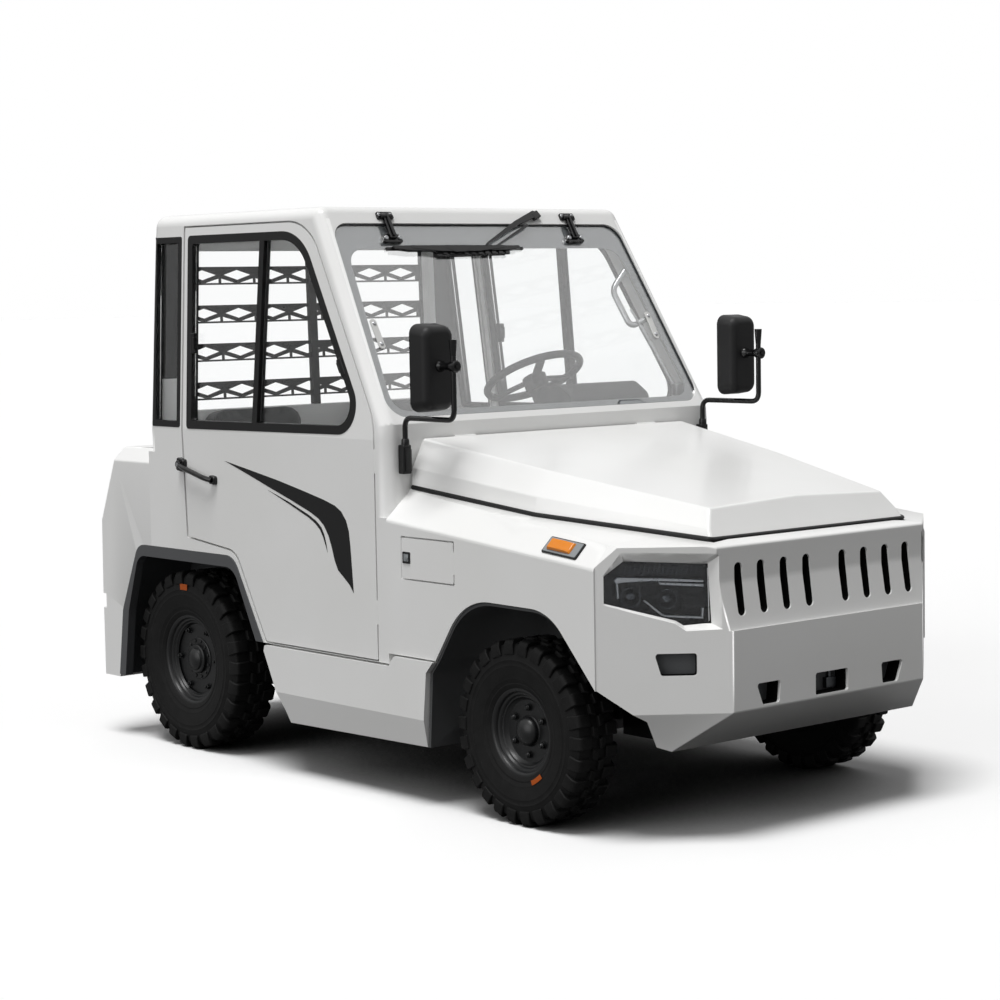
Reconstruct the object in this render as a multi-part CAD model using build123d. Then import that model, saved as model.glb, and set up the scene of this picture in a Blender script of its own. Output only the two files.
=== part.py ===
# Airport baggage tug with a two-seat cab: +X forward, +Y left, +Z up, millimetres,
# origin on the ground under the middle of the bounding box.
import os
from math import atan2, cos, degrees, pi, radians, sin
from build123d import *

os.makedirs("parts", exist_ok=True)

# ---- overall body ----
bodyHalf = 760.0          # half width of the painted sides
sideWall = 40.0           # thickness of doors and cab walls
beltZ = 1190.0            # height where the cab sides start to lean in
roofTopZ = 1966.0         # top of the roof
roofEdge = 41.0           # height of the roof cap over the cab sides
roofSeamZ = roofTopZ - roofEdge
cabLean = 60.0            # how far a side leans in from belt to roof seam
cabRound = 45.0           # rounding of the pillars and the roof's edge
pillarLowZ = 936.0        # the front pillars are rounded from here up
rearPillarLowZ = 1100.0   # and the rear ones from here
cabRearX = -1115.0        # rear wall of the cab at floor level
cabRearLean = 28.0        # how far the rear wall leans back at the roof
cowlX = 309.0             # front wall of the cab
screenLowZ = 1240.0       # where the sloping screen leaves the front wall
screenSlope = 0.589       # run of the windscreen plane per unit of height
bodyRearX = -1475.0       # rear face of the rear body
noseX = 1565.0            # front face of the bumper

# ---- wheels and axles ----
frontAxleX = 900.0
rearAxleX = -960.0
frontTyreR = 295.0        # radius over the lugs
rearTyreR = 330.0
frontTyreW = 170.0
rearTyreW = 190.0
frontTrackHalf = bodyHalf - 120.0  # middle of a front tyre
rearTrackHalf = bodyHalf - 130.0
frontRimR = 134.0
rearRimR = 160.0
lugHeight = 13.0
lugCount = 26             # lugs round each shoulder
lugShare = 0.58           # a lug's share of its pitch
beadHeight = 16.0         # bead over the rim
beadShare = 0.68          # rim width as a share of the tyre's
dishShare = 0.55          # how far up the sidewall its dish begins
kingpinHalf = frontTrackHalf - 130.0
kingpinR = 20.0
pinGap = 0.3              # running clearance of pins and spindles
spindleR = 24.0
rearSpindleR = 32.0
axleTubeR = 50.0

floorTopZ = rearTyreR + 125.0       # cab floor, upper face, clear of the rear axle
floorThick = 25.0                   # cab floor plate
skirtInner = bodyHalf - 60.0        # inner face of the side skirts
inY = bodyHalf - 160.0              # cuts through a side wall run from here
outY = bodyHalf + 60.0              # to here
archInY = rearTrackHalf - rearTyreW / 2 - 55.0  # inner end of the wheel arches
bumperX = noseX - 260.0             # seam between fender and bumper
hoodNoseX = noseX - 80.0            # front edge of the hood
rearArchTop = 2 * rearTyreR + 88.0  # wheel arches clear the tyres
frontArchTop = 2 * frontTyreR + 114.0

# ---- gaps ----
doorGap = 6.0             # gap along the front, top and bottom of a door
doorRearGap = 10.0        # wider gap where a door swings clear
hoodGap = 8.0
flapGap = 5.2
seat = 0.3                # gap left under a piece that rests on another


def prismY(points, y0, y1):
    """points are (x, z, corner radius); the prism runs from y0 to y1."""
    wire = Polyline(*[(x, z) for x, z, r in points], close=True)
    face = make_face(wire)
    for x, z, r in points:
        if r > 0:
            corner = face.vertices().sort_by_distance(Vector(x, z, 0))[0]
            face = fillet(corner, r)
    face = Plane.XZ.offset(-y0) * face
    return extrude(face, amount=-(y1 - y0))


def prismX(points, x0, x1):
    """points are (y, z); the prism runs from x0 to x1."""
    face = make_face(Polyline(*points, close=True))
    return extrude(Plane.YZ.offset(x0) * face, amount=x1 - x0)


def box(x0, x1, y0, y1, z0, z1):
    return Pos((x0 + x1) / 2, (y0 + y1) / 2, (z0 + z1) / 2) * Box(
        abs(x1 - x0), abs(y1 - y0), abs(z1 - z0)
    )


def tubeY(x, z, radius, y0, y1):
    return Pos(x, (y0 + y1) / 2, z) * Rot(90, 0, 0) * Cylinder(radius, y1 - y0)


def tubeZ(x, y, radius, z0, z1):
    return Pos(x, y, (z0 + z1) / 2) * Cylinder(radius, z1 - z0)


def tubeX(y, z, radius, x0, x1):
    return Pos((x0 + x1) / 2, y, z) * Rot(0, 90, 0) * Cylinder(radius, x1 - x0)


def mirrored(shape):
    return mirror(shape, Plane.XZ)


def trim(shape, point, normal):
    """keeps what lies behind the plane, against its normal."""
    return split(shape, bisect_by=Plane(origin=point, z_dir=normal), keep=Keep.BOTTOM)


def save(shape, name):
    solids = shape.solids() if not isinstance(shape, list) else [
        s for item in shape for s in item.solids()
    ]
    export_step(Compound(children=list(solids)) if len(solids) > 1 else solids[0],
                "parts/%s.step" % name)
    print(name, len(solids))


# ---- cab ----
def screenX(z):
    """where the windscreen's plane stands at height z."""
    return cowlX - screenSlope * (z - screenLowZ)


skirtTopZ = floorTopZ - 7.0
stepTopZ = skirtTopZ + 36.0  # raised front end of a skirt
doorTopZ = roofSeamZ - 8.0
windowTopZ = roofSeamZ - 37.0
doorFrontX = cowlX - 59.0
doorLowZ = floorTopZ + 7.0
doorLine = [               # x, z, corner radius of a door's outline
    (-863, rearArchTop + 52, 8), (-560, rearArchTop + 20, 90),
    (-385, doorLowZ, 12), (doorFrontX, doorLowZ, 4),
    (doorFrontX, screenLowZ, 220), (screenX(doorTopZ) - 77, doorTopZ, 215), (-918, doorTopZ, 6),
]
windowLine = [             # outline of a door's window
    (-857, beltZ + 2, 16), (doorFrontX - 25, beltZ + 13, 96),
    (screenX(windowTopZ) - 128, windowTopZ, 210), (-897, windowTopZ, 16),
]
quarterLine = [            # outline of the window behind a door
    (-1085, beltZ + 5, 10), (-900, beltZ + 5, 10), (-937, windowTopZ - 2, 10), (-1122, windowTopZ - 2, 10),
]
frameWidth = 30.0          # black frame round each side window
glassThick = 6.0


def roundEdges(shape, radius, test):
    """rounds the edges whose middle passes the test."""
    if radius < 1:
        return shape
    return fillet([edge for edge in shape.edges() if test(edge.center())], radius)


def cabVolume(inset):
    """the cab's outer volume with sharp edges, every wall moved in by inset."""
    half = bodyHalf - inset
    crown = roofTopZ - inset
    topHalf = half - cabLean / (roofSeamZ - beltZ) * (crown - beltZ)
    section = [(-half, 300), (half, 300), (half, beltZ), (topHalf, crown), (-topHalf, crown), (-half, beltZ)]
    front = cowlX - inset
    rear = cabRearX + inset
    topX = front - screenSlope * (crown - screenLowZ)
    side = [
        (rear, 300, 0), (front, 300, 0), (front, screenLowZ, 0),
        (topX, crown, 0), (rear - cabRearLean, crown, 0), (rear, beltZ - 100, 0),
    ]
    return prismX(section, rear - 60, front) & prismY(side, -bodyHalf - 20, bodyHalf + 20)


def cabBlock(inset, z0, z1):
    """the cab's outer volume with rounded pillars and roof edges, between two heights."""
    whole = cabVolume(inset)
    radius = cabRound - inset
    crown = roofTopZ - inset
    far = 2 * noseX
    low = whole & box(-far, far, -far, far, 300, pillarLowZ)
    waist = whole & box(-far, far, -far, far, pillarLowZ, rearPillarLowZ)
    waist = roundEdges(waist, radius, lambda c: c.X > cowlX - inset - 1 and abs(c.Y) > 1)
    upper = whole & box(-far, far, -far, far, rearPillarLowZ, crown)

    def isCorner(c):
        along = abs(c.Y) > 1 and c.Z < crown - 1 and (c.X > cabFrontEdge(c.Z, inset) or c.X < cabRearX + inset + 1)
        return c.Z > rearPillarLowZ + 1 and (c.Z > crown - 1 or along)

    upper = roundEdges(upper, radius, isCorner)
    return (low + waist + upper) & box(-far, far, -far, far, z0, z1)


def cabFrontEdge(z, inset):
    """x just behind the front wall or the sloping screen at height z."""
    return cowlX - inset - 2 - screenSlope * max(z - screenLowZ, 0)


def wallBand(outer, inner, z0=floorTopZ, z1=roofSeamZ):
    """the cab's wall between two insets."""
    return cabBlock(outer, z0, z1) - cabBlock(inner, z0 - 50, z1 + 50)


def rearArchLine(grow=0.0):
    return [
        (-1372 - grow, 150, 0), (-1323 - grow, 491, 60), (-1205, rearArchTop + grow, 60),
        (-576, rearArchTop + grow, 80), (-398 + grow, floorTopZ - 15, 0), (-398 + grow, 150, 0),
    ]


def frontArchLine(grow=0.0):
    return [
        (492 - grow, 150, 0), (514 - grow, skirtTopZ - 2, 0), (553 - grow, stepTopZ + 8, 60),
        (700, frontArchTop + grow, 230), (1100, frontArchTop - 4 + grow, 190),
        (bumperX + 90 + grow, 380, 0), (bumperX + 90 + grow, 150, 0),
    ]


def cabFrame():
    shell = wallBand(0, sideWall)
    for side in (-1, 1):
        y0, y1 = sorted((side * inY, side * outY))
        opening = prismY(
            [(x + (doorGap if x > -300 else -doorRearGap), z + (doorGap if z > 1000 else -doorGap), r)
             for x, z, r in doorLine], y0, y1)
        shell -= opening
        shell -= prismY(quarterLine, y0, y1)
        y0, y1 = sorted((side * archInY, side * outY))
        shell -= prismY(rearArchLine(), y0, y1)
    shell -= windscreenCut(0)
    shell -= box(cabRearX - 80, cabRearX + 60, -guardOpenHalf, guardOpenHalf, guardOpenLow, guardOpenTop)
    return shell


screenStretch = (1 + screenSlope ** 2) ** 0.5
screenTopUp = (roofSeamZ - 15.5 - screenLowZ) * screenStretch
screenLine = [             # half width, distance up the screen plane
    (bodyHalf - 38, 24), (bodyHalf - 98, screenTopUp),
]


def screenFace(grow):
    low, high = screenLine
    wire = Polyline(
        (-low[0] - grow, low[1] - grow), (low[0] + grow, low[1] - grow),
        (high[0] + grow, high[1] + grow), (-high[0] - grow, high[1] + grow), close=True)
    face = make_face(wire)
    face = fillet(face.vertices(), 70 + grow)
    slope = Vector(-screenSlope, 0, 1).normalized()
    plane = Plane(origin=(cowlX, 0, screenLowZ), x_dir=(0, 1, 0),
                  z_dir=Vector(0, 1, 0).cross(slope))
    return plane * face, plane.z_dir


def windscreenCut(grow):
    face, out = screenFace(grow)
    return extrude(face, amount=80, dir=out) + extrude(face, amount=-80, dir=out)


def glassSheets():
    face, out = screenFace(-0.0)
    slab = extrude(face, amount=-(10 + glassThick), dir=out) - extrude(face, amount=-10, dir=out)
    band = wallBand(16, 16 + glassThick)
    pieces = [slab]
    inner = insetLine(quarterLine, frameWidth - 8)
    for side in (-1, 1):
        y0, y1 = sorted((side * inY, side * outY))
        pieces.append(band & prismY(inner, y0, y1))
    return pieces


def insetLine(line, by):
    """moves each corner of a four-sided outline toward its middle by about by."""
    cx = sum(p[0] for p in line) / len(line)
    cz = sum(p[1] for p in line) / len(line)
    out = []
    for x, z, r in line:
        sx = by if x < cx else -by
        sz = by if z < cz else -by
        out.append((x + sx, z + sz, max(r - by, 4)))
    return out


def quarterTrims():
    band = wallBand(-1.5, 30)
    pieces = []
    for side in (-1, 1):
        y0, y1 = sorted((side * inY, side * outY))
        ring = prismY(quarterLine, y0, y1) - prismY(insetLine(quarterLine, frameWidth - 8), y0, y1)
        pieces.append(band & ring)
    return pieces


def cabRoof():
    outer = cabBlock(0, roofSeamZ, roofTopZ)
    return outer - cabBlock(24, roofSeamZ - 50, roofTopZ)


def cabFloor():
    plate = box(cabRearX, cowlX, -skirtInner, skirtInner, floorTopZ - floorThick, floorTopZ)
    for side in (-1, 1):
        y0, y1 = sorted((side * archInY, side * outY))
        plate -= prismY(rearArchLine(), y0, y1)
    return plate


# ---- doors ----
def doorPanel(side):
    y0, y1 = sorted((side * inY, side * outY))
    panel = wallBand(0, sideWall, floorTopZ - 15, roofSeamZ + 15) & prismY(doorLine, y0, y1)
    panel -= prismY(windowLine, y0, y1)
    for z in doorHingeZ:
        panel += doorBarrel(side, z)
    return panel


doorHingeZ = (floorTopZ + 165.0, beltZ - 70.0)
doorHingeR = doorGap / 2 - seat


def doorBarrel(side, z):
    axisX = doorFrontX + doorGap / 2
    axisY = side * (bodyHalf - doorHingeR)
    leaf = box(doorFrontX - 4, axisX, axisY, side * (bodyHalf - 0.3), z - 40, z + 40)
    return tubeZ(axisX, axisY, doorHingeR, z - 40, z + 40) + leaf


paneTopZ = windowTopZ - 30.0
windowPane = [
    (-827, beltZ + 32, 10), (doorFrontX - 78, beltZ + 42, 70),
    (screenX(paneTopZ) - 162, paneTopZ, 180), (-865, paneTopZ, 10),
]
barX = -430.0              # bar where the two panes meet
barWidth = 28.0


def doorTrim(side):
    y0, y1 = sorted((side * inY, side * outY))
    ring = prismY(windowLine, y0, y1) - prismY(windowPane, y0, y1)
    bar = box(barX - barWidth / 2, barX + barWidth / 2, y0, y1, beltZ, windowTopZ) & prismY(windowPane, y0, y1)
    frame = wallBand(-1.5, 30) & (ring + bar)
    handle = [
        box(-905, -865, side * bodyHalf, side * (bodyHalf + 18), 1040, 1085),
        box(-700, -672, side * bodyHalf, side * (bodyHalf + 18), 1000, 1030),
    ]
    grip = prismY([(-905, 1042, 6), (-672, 1002, 6), (-672, 1024, 6), (-905, 1068, 6)],
                  *sorted((side * (bodyHalf + 18), side * (bodyHalf + 36))))
    return [frame, grip + handle]


def doorGlass(side):
    y0, y1 = sorted((side * inY, side * outY))
    band = wallBand(14, 14 + glassThick)
    bar = box(barX - barWidth / 2, barX + barWidth / 2, y0, y1, beltZ - 90, roofSeamZ)
    return [band & (prismY(windowPane, y0, y1) - bar)]


# ---- front body ----
hoodTopZ = 1189.0
# x, seam half width, seam z, crease half width, crease z, top half width, top z, crown
hoodTable = [
    (cowlX + hoodGap, bodyHalf - 105, 1026, bodyHalf - 110, 1095, bodyHalf - 159, hoodTopZ, 0.5),
    (865, bodyHalf - 160, 963, bodyHalf - 168, 1025, bodyHalf - 240, 1100, 14),
    (hoodNoseX, bodyHalf - 317, 912, bodyHalf - 335, 945, bodyHalf - 382, 997, 12),
]
# x, ridge z, crease half width, crease z, seam half width, seam z
fenderTable = [
    (cowlX, 931, bodyHalf - 100, 1020, bodyHalf - 105, 1026),
    (865, 882, bodyHalf - 81, 961, bodyHalf - 160, 963),
    (bumperX, 843, bodyHalf - 62, 910, bodyHalf - 270, 927),
]
skinThick = 28.0
hoodRound = 15.0           # rounding of the hood's creases
hoodNoseRound = 16.0       # and of its front edge
fenderRound = 18.0         # of the fender's ridge
bumperRound = 9.0
rearRound = 14.0


def section(x, points):
    return Plane.YZ.offset(x) * make_face(Polyline(*points, close=True))


def isHoodCrease(c):
    """true at the middle of one of the hood's four lengthwise creases."""
    for first, second in zip(hoodTable, hoodTable[1:]):
        for k in (3, 5):
            middle = [(first[i] + second[i]) / 2 for i in (0, k, k + 1)]
            if abs(c.X - middle[0]) + abs(abs(c.Y) - middle[1]) + abs(c.Z - middle[2]) < 4:
                return True
    return False


def isHoodNose(c):
    """true on the edges of the hood's front face, but for the lowest."""
    onFace = abs(94 * (c.X - hoodNoseX) + 57 * (c.Z - 912)) < 60
    return onFace and c.Z > hoodTable[-1][2] + hoodGap + 4


def hood():
    faces = []
    inner = []
    for x, ys, zs, yc, zc, yt, zt, crown in hoodTable:
        zb = zs + hoodGap * 0.5
        ring = [(-ys, zb), (-yc, zc), (-yt, zt), (0, zt + crown), (yt, zt), (yc, zc), (ys, zb)]
        faces.append(section(x, ring))
        t = 20
        inner.append(section(x, [(-ys + t, zb - 40), (-yc + t, zc - 8), (-yt + t * 0.6, zt - t),
                                 (0, zt + crown - t), (yt - t * 0.6, zt - t), (yc - t, zc - 8),
                                 (ys - t, zb - 40)]))
    outer = roundEdges(loft(faces, ruled=True), hoodRound, isHoodCrease)
    hollow = loft(inner, ruled=True)
    outer = trim(outer, (hoodNoseX, 0, 912), (94, 0, 57))
    outer = roundEdges(outer, hoodNoseRound, isHoodNose)
    hollow = trim(hollow, (hoodNoseX - 25, 0, 912), (94, 0, 57))
    hollow = trim(hollow, (cowlX + hoodGap + 15, 0, 0), (-1, 0, 0))
    shell = outer - hollow
    for y in (-hingeHalf, hingeHalf):
        shell += hoodBarrel(y)
    return shell


hingeHalf = 420.0          # hood hinges from the centre line
hoodHingeR = hoodGap / 2 - seat


def hoodBarrel(y):
    barrel = tubeY(cowlX + hoodGap / 2, hoodTopZ, hoodHingeR, y - 45, y + 45)
    leaf = box(cowlX + hoodGap / 2, cowlX + hoodGap + 4, y - 45, y + 45, hoodTopZ - hoodHingeR, hoodTopZ)
    return barrel + leaf


def isRidge(c, side):
    """true on the long edge where the fender's top meets its side."""
    return abs(c.Y - side * bodyHalf) < 1 and fenderTable[-1][1] < c.Z < fenderTable[0][1] and (
        abs(c.X - fenderTable[0][0]) > 1 and abs(c.X - fenderTable[-1][0]) > 1)


def fender(side):
    faces = []
    t = skinThick
    for x, zr, yc, zc, ys, zs in fenderTable:
        ring = [(bodyHalf, 330), (bodyHalf, zr), (yc, zc), (ys, zs), (ys, zs - t),
                (yc - t * 0.3, zc - t), (bodyHalf - t, zr - t * 0.6), (bodyHalf - t, 330)]
        faces.append(section(x, [(side * y, z) for y, z in ring]))
    skin = loft(faces, ruled=True)
    skin = roundEdges(skin, fenderRound, lambda c: isRidge(c, side))
    y0, y1 = sorted((side * inY, side * outY))
    skin -= prismY(frontArchLine(), y0, y1)
    skin -= box(200, 600, y0, y1, 300, stepTopZ + 6)
    if side < 0:
        skin -= prismY(flapLine(flapGap), -bodyHalf - 10, -bodyHalf + 18)
    return skin


flapX0, flapX1, flapZ0, flapZ1 = 389.0, 651.0, 746.0, 878.0
flapThick = 5.0
flapBarrelR = flapGap / 2 - seat
flapAxisX = flapX1 + 0.42 * flapGap  # nearer the flap, so its corner swings clear


def flapLine(grow):
    return [
        (flapX0 - grow, flapZ0 - grow, 6), (flapX1 + grow, flapZ0 - grow, 6),
        (flapX1 + grow, flapZ1 + grow, 6), (flapX0 - grow, flapZ1 + grow, 6),
    ]


def fuelFlap():
    plate = prismY(flapLine(0), -bodyHalf, -bodyHalf + flapThick)
    latch = box(396, 432, -bodyHalf - 2, -bodyHalf, 796, 832)
    axisX = flapAxisX
    axisY = -bodyHalf + flapBarrelR
    plate += tubeZ(axisX, axisY, flapBarrelR, flapZ0 + 30, flapZ1 - 30)
    plate += box(flapX1 - 3, axisX, -bodyHalf + 0.2, -bodyHalf + 3, flapZ0 + 30, flapZ1 - 30)
    return plate + latch


noseTopZ = 893.0
stepZ = 650.0              # top of the flat bumper face
chinZ = 283.0
chinTopZ = 403.0           # crease where the chin turns in, on the face and the corners
chinFootX = noseX - 144.0  # front of the chin's lower edge
noseSetback = 30.0         # how far the face with the slots lies behind the lower one


def bumperVolume(inset):
    block = box(bumperX - 60, noseX - inset, -bodyHalf + inset, bodyHalf - inset, chinZ + inset, 940)
    planes = [              # point on the plane, outward direction
        ((noseX, 0, stepZ), (1, 0, 0)),
        ((noseX, 0, chinTopZ), (chinTopZ - chinZ, 0, chinFootX - noseX)),
        ((noseX - 60, 0, 912), (19, 0, 55)),
    ]
    for side in (-1, 1):
        planes.append(((cornerX, side * bodyHalf, 0), (cornerRun[1], side * cornerRun[0], 0)))
        planes.append(((cornerX, side * bodyHalf, chinTopZ), (cornerRun[1], side * cornerRun[0], -120)))
        planes.append(((bumperX, side * (bodyHalf - 270), fenderTable[-1][5]), (105, side * 82, 1000)))
        planes.append(((bumperX, side * bodyHalf, 843), (0, side * 67, 62)))
    for point, normal in planes:
        n = Vector(*normal).normalized()
        block = trim(block, Vector(*point) - n * inset, n)
    back = noseX - noseSetback - inset
    block -= prismY([(noseX - 6 - inset, stepZ, 0), (noseX + 60, stepZ, 0), (noseX + 60, 980, 0),
                     (back, 980, 0), (back, stepZ + 145, 120)], -bodyHalf, bodyHalf)
    return block


def chinLine():
    """what is cut away behind the chin: from the wheel arch down to its lower edge."""
    return [(bumperX - 90, chinTopZ - 2, 0), (bumperX + 4, chinTopZ - 2, 0), (bumperX + 45, chinZ + 43, 0),
            (chinFootX, chinZ, 0), (chinFootX, chinZ - 60, 0), (bumperX - 90, chinZ - 60, 0)]


slotCentres = [83, 184, 285, 383]
slotWidth = 34.0
openingRound = 9.0         # corners of the openings in the bumper
cornerRun = (254.0, 310.0)  # run of the chamfered corner along X and inward along Y
cornerX = noseX - 265.0     # where the chamfer leaves the side
# distance along the chamfer from its rear edge, z, for the lamp and its recess, and the lens's depth
lampTable = [
    (33, 820, 33, 828, 3), (93, 864, 84, 896, 8), (344, 849, 388, 884, 30),
    (353, 673, 388, 656, 30), (272, 667, 278, 652, 24), (248, 682, 245, 675, 22), (32, 740, 33, 733, 3),
]
lampDepth = 60.0


def cornerPoint(side, along, z, depth):
    """a point on the chamfered corner: along it from the rear, at z, and depth inside."""
    length = (cornerRun[0] ** 2 + cornerRun[1] ** 2) ** 0.5
    run = Vector(cornerRun[0] / length, -side * cornerRun[1] / length, 0)
    out = Vector(cornerRun[1] / length, side * cornerRun[0] / length, 0)
    base = Vector(cornerX, side * bodyHalf, z)
    return base + run * along - out * depth, out


def cornerLoft(side, first, second):
    """ruled solid between two outlines of (along, z, depth) on the chamfered corner."""
    faces = []
    for line in (first, second):
        points = [cornerPoint(side, a, z, d)[0] for a, z, d in line]
        faces.append(make_face(Polyline(*points, close=True)))
    return loft(faces, ruled=True)


def lampPlaneDepth(along):
    """the lens plane leans in toward the nose."""
    return 3 + 27 * (along - 33) / 320


def lampRecess(side):
    outer = [(ra, rz, -1.0) for a, z, ra, rz, d in lampTable]
    inner = [(a, z, lampPlaneDepth(a) + 0.5) for a, z, ra, rz, d in lampTable]
    return cornerLoft(side, outer, inner)


def lampSolid(side, grow):
    ca = sum(p[0] for p in lampTable) / len(lampTable)
    cz = sum(p[1] for p in lampTable) / len(lampTable)
    front = []
    back = []
    for a, z, ra, rz, d in lampTable:
        ga = a + (grow if a > ca else -grow)
        gz = z + (grow if z > cz else -grow)
        front.append((ga, gz, lampPlaneDepth(ga) - (1.0 if grow > 0 else 0)))
        back.append((ga, gz, lampPlaneDepth(ga) + lampDepth + grow))
    return cornerLoft(side, front, back)


def cornerPrism(side, line, depth, lift):
    first = [(a, z, -lift) for a, z in line]
    second = [(a, z, depth) for a, z in line]
    return cornerLoft(side, first, second)


fogLine = [(182, 586), (309, 586), (309, 518), (202, 518)]


def isFogCorner(c, side):
    """true on the four edges that run into the bumper at the fog opening's corners."""
    points = [cornerPoint(side, a, z, 26)[0] for a, z in fogLine]
    return any((c - point).length < 1 for point in points)


def isNoseCrease(c):
    """true on the nose's creases, but for the small step, its curve and those under the hood."""
    if c.X < bumperX + 5 or c.Z < chinZ + 8:
        return False
    onStep = abs(c.Z - stepZ) < 2
    onCurve = abs(c.Y) < 5 and stepZ + 100 < c.Z < stepZ + 200
    return not onStep and not onCurve and not (c.Z > noseTopZ - 30 and c.X < noseX - 60)


def frontBumper():
    shell = roundEdges(bumperVolume(0), bumperRound, isNoseCrease) - bumperVolume(skinThick)
    shell -= box(bumperX - 80, bumperX, -900, 900, 200, 1000)
    shell -= prismY(chinLine(), -bodyHalf, bodyHalf)
    shell -= box(bumperX - 10, bumperX + 120, -bodyHalf + 330, bodyHalf - 330, 800, 960)
    cutHood = []
    for x, half, z in ((bumperX - 20, bodyHalf - 278, 800), (noseX - 72, bodyHalf - 317, 800)):
        cutHood.append(section(x, [(-half, z), (half, z), (half, 960), (-half, 960)]))
    shell -= loft(cutHood, ruled=True)
    for side in (-1, 1):
        for centre in slotCentres:
            y = side * centre
            slot = box(noseX - 90, noseX + 10, y - slotWidth / 2, y + slotWidth / 2, 690, 850)
            shell -= fillet(slot.edges().filter_by(Axis.X), slotWidth / 2 - 1)
        shell -= lampRecess(side)
        shell -= lampSolid(side, seat)
        fog = cornerPrism(side, fogLine, 60, 8)
        shell -= roundEdges(fog, openingRound, lambda c: isFogCorner(c, side))
        trapeze = [(side * 232, 480), (side * 338, 480), (side * 310, 412), (side * 238, 412)]
        hole = prismX(trapeze, noseX - 120, noseX + 20)
        shell -= fillet(hole.edges().filter_by(Axis.X), openingRound)
        y0, y1 = sorted((side * 560, side * outY))
        shell -= prismY(frontArchLine(), y0, y1)
    hole = box(noseX - 120, noseX + 20, -75, 75, 412, 482)
    shell -= fillet(hole.edges().filter_by(Axis.X), openingRound)
    return shell


def headLamps():
    return [lampSolid(side, 0.0) for side in (-1, 1)]


def frontLiner(side):
    y0, y1 = sorted((side * 350, side * (bodyHalf - 10)))
    arch = prismY(frontArchLine(-seat), y0, y1) - prismY(frontArchLine(-12), y0, y1)
    arch -= box(1000, noseX, -900, 900, 100, 500)
    inner = prismY(frontArchLine(-seat), *sorted((side * 338, side * 350)))
    inner -= box(400, noseX, -900, 900, 100, 353)
    liner = arch + inner
    liner -= box(400, noseX, -900, 900, 100, 200)
    liner -= box(bumperX - seat, noseX, -900, 900, 100, 900)
    return liner


def radiator():
    return box(bumperX + 75, bumperX + 120, -430, 430, 490, 860)


def engineBlock():
    return box(420, bumperX - 125, -railOut, railOut, railTop + seat, 900)


# ---- skirts ----
def skirt(side):
    y0, y1 = sorted((side * skirtInner, side * (bodyHalf + 8)))
    body = prismY([(-396, skirtTopZ - 20, 0), (-390, skirtTopZ, 6), (314, skirtTopZ, 0), (344, stepTopZ, 6),
                   (546, stepTopZ, 0), (511, skirtTopZ - 1, 0), (486, 199, 0), (-278, 184, 0), (-292, 222, 0)], y0, y1)
    return trim(body, (0, side * (bodyHalf + 8), 290), (0, side * 80, -20))


# ---- rear body ----
rearTopZ = 1112.0
rearBodyJoint = 1085.0     # the rear body lies flat against the cab up to here
trayDepth = 30.0


def rearBody():
    profile = [
        (cabRearX, railTop + seat, 0), (cabRearX, rearBodyJoint, 0), (cabRearX - 3, rearTopZ, 0),
        (-1346, rearTopZ - 6, 0), (-1372, 1050, 0), (-1470, 823, 0), (bodyRearX, 554, 0),
        (bodyRearX, railTop + seat, 0),
    ]
    block = prismY(profile, -bodyHalf, bodyHalf)
    for side in (-1, 1):
        block = trim(block, (0, side * bodyHalf, 1056), (0, side * 56, 40))
    block = roundEdges(block, rearRound, lambda c: c.X < cabRearX - 5 and c.Z > railTop + 5 and (
        abs(c.Y) > 1 or c.Z > 600))
    for side in (-1, 1):
        y0, y1 = sorted((side * (archInY + 20), side * bodyHalf))
        corner = box(bodyRearX, -1300, y0, y1, 229, 500)
        block += roundEdges(corner, rearRound, lambda c: c.X < bodyRearX + 1 and abs(c.Y) > bodyHalf - 1
                            and 230 < c.Z < 499)
        block -= box(bodyRearX - 5, bodyRearX + 30, y0, y1, 486, 541)
    for side in (-1, 1):
        y0, y1 = sorted((side * (archInY + 9), side * outY))
        block -= prismY(rearArchLine(), y0, y1)
        y0, y1 = sorted((side * (bodyHalf - 200), side * (bodyHalf - 70)))
        block -= box(bodyRearX - 5, bodyRearX + 12, y0, y1, 600, 700)
    block -= box(-1310, cabRearX - 40, -bodyHalf + 140, bodyHalf - 140, rearTopZ - trayDepth, rearTopZ + 20)
    return block


def rearLiner(side):
    y0, y1 = sorted((side * (archInY + 20), side * (bodyHalf + 4)))
    ring = prismY(rearArchLine(-1), y0, y1) - prismY(rearArchLine(-12), y0, y1)
    wall = prismY(rearArchLine(-1), *sorted((side * (archInY + 10), side * (archInY + 20))))
    y0, y1 = sorted((side * (bodyHalf - 28), side * (bodyHalf + 4)))
    lip = prismY(rearArchLine(-1), y0, y1) - prismY(rearArchLine(-42), y0, y1)
    liner = ring + wall + lip
    liner -= tubeY(rearAxleX, rearTyreR, 125, -900, 900)
    liner -= box(rearAxleX - 125, rearAxleX + 125, -archInY - 40, archInY + 40, 100, rearTyreR)
    liner -= box(-1500, -300, -900, 900, 100, 240)
    liner -= box(-460, -300, -900, 900, 100, floorTopZ + 1)
    return liner


def fenderRow(x):
    """the fender table's row at x, between its rows."""
    for first, second in zip(fenderTable, fenderTable[1:]):
        if x <= second[0]:
            part = (x - first[0]) / (second[0] - first[0])
            return [a + (b - a) * part for a, b in zip(first, second)]
    return list(fenderTable[-1])


turnLampX = 1140.0
turnLampSize = (150.0, 58.0, 18.0)


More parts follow.
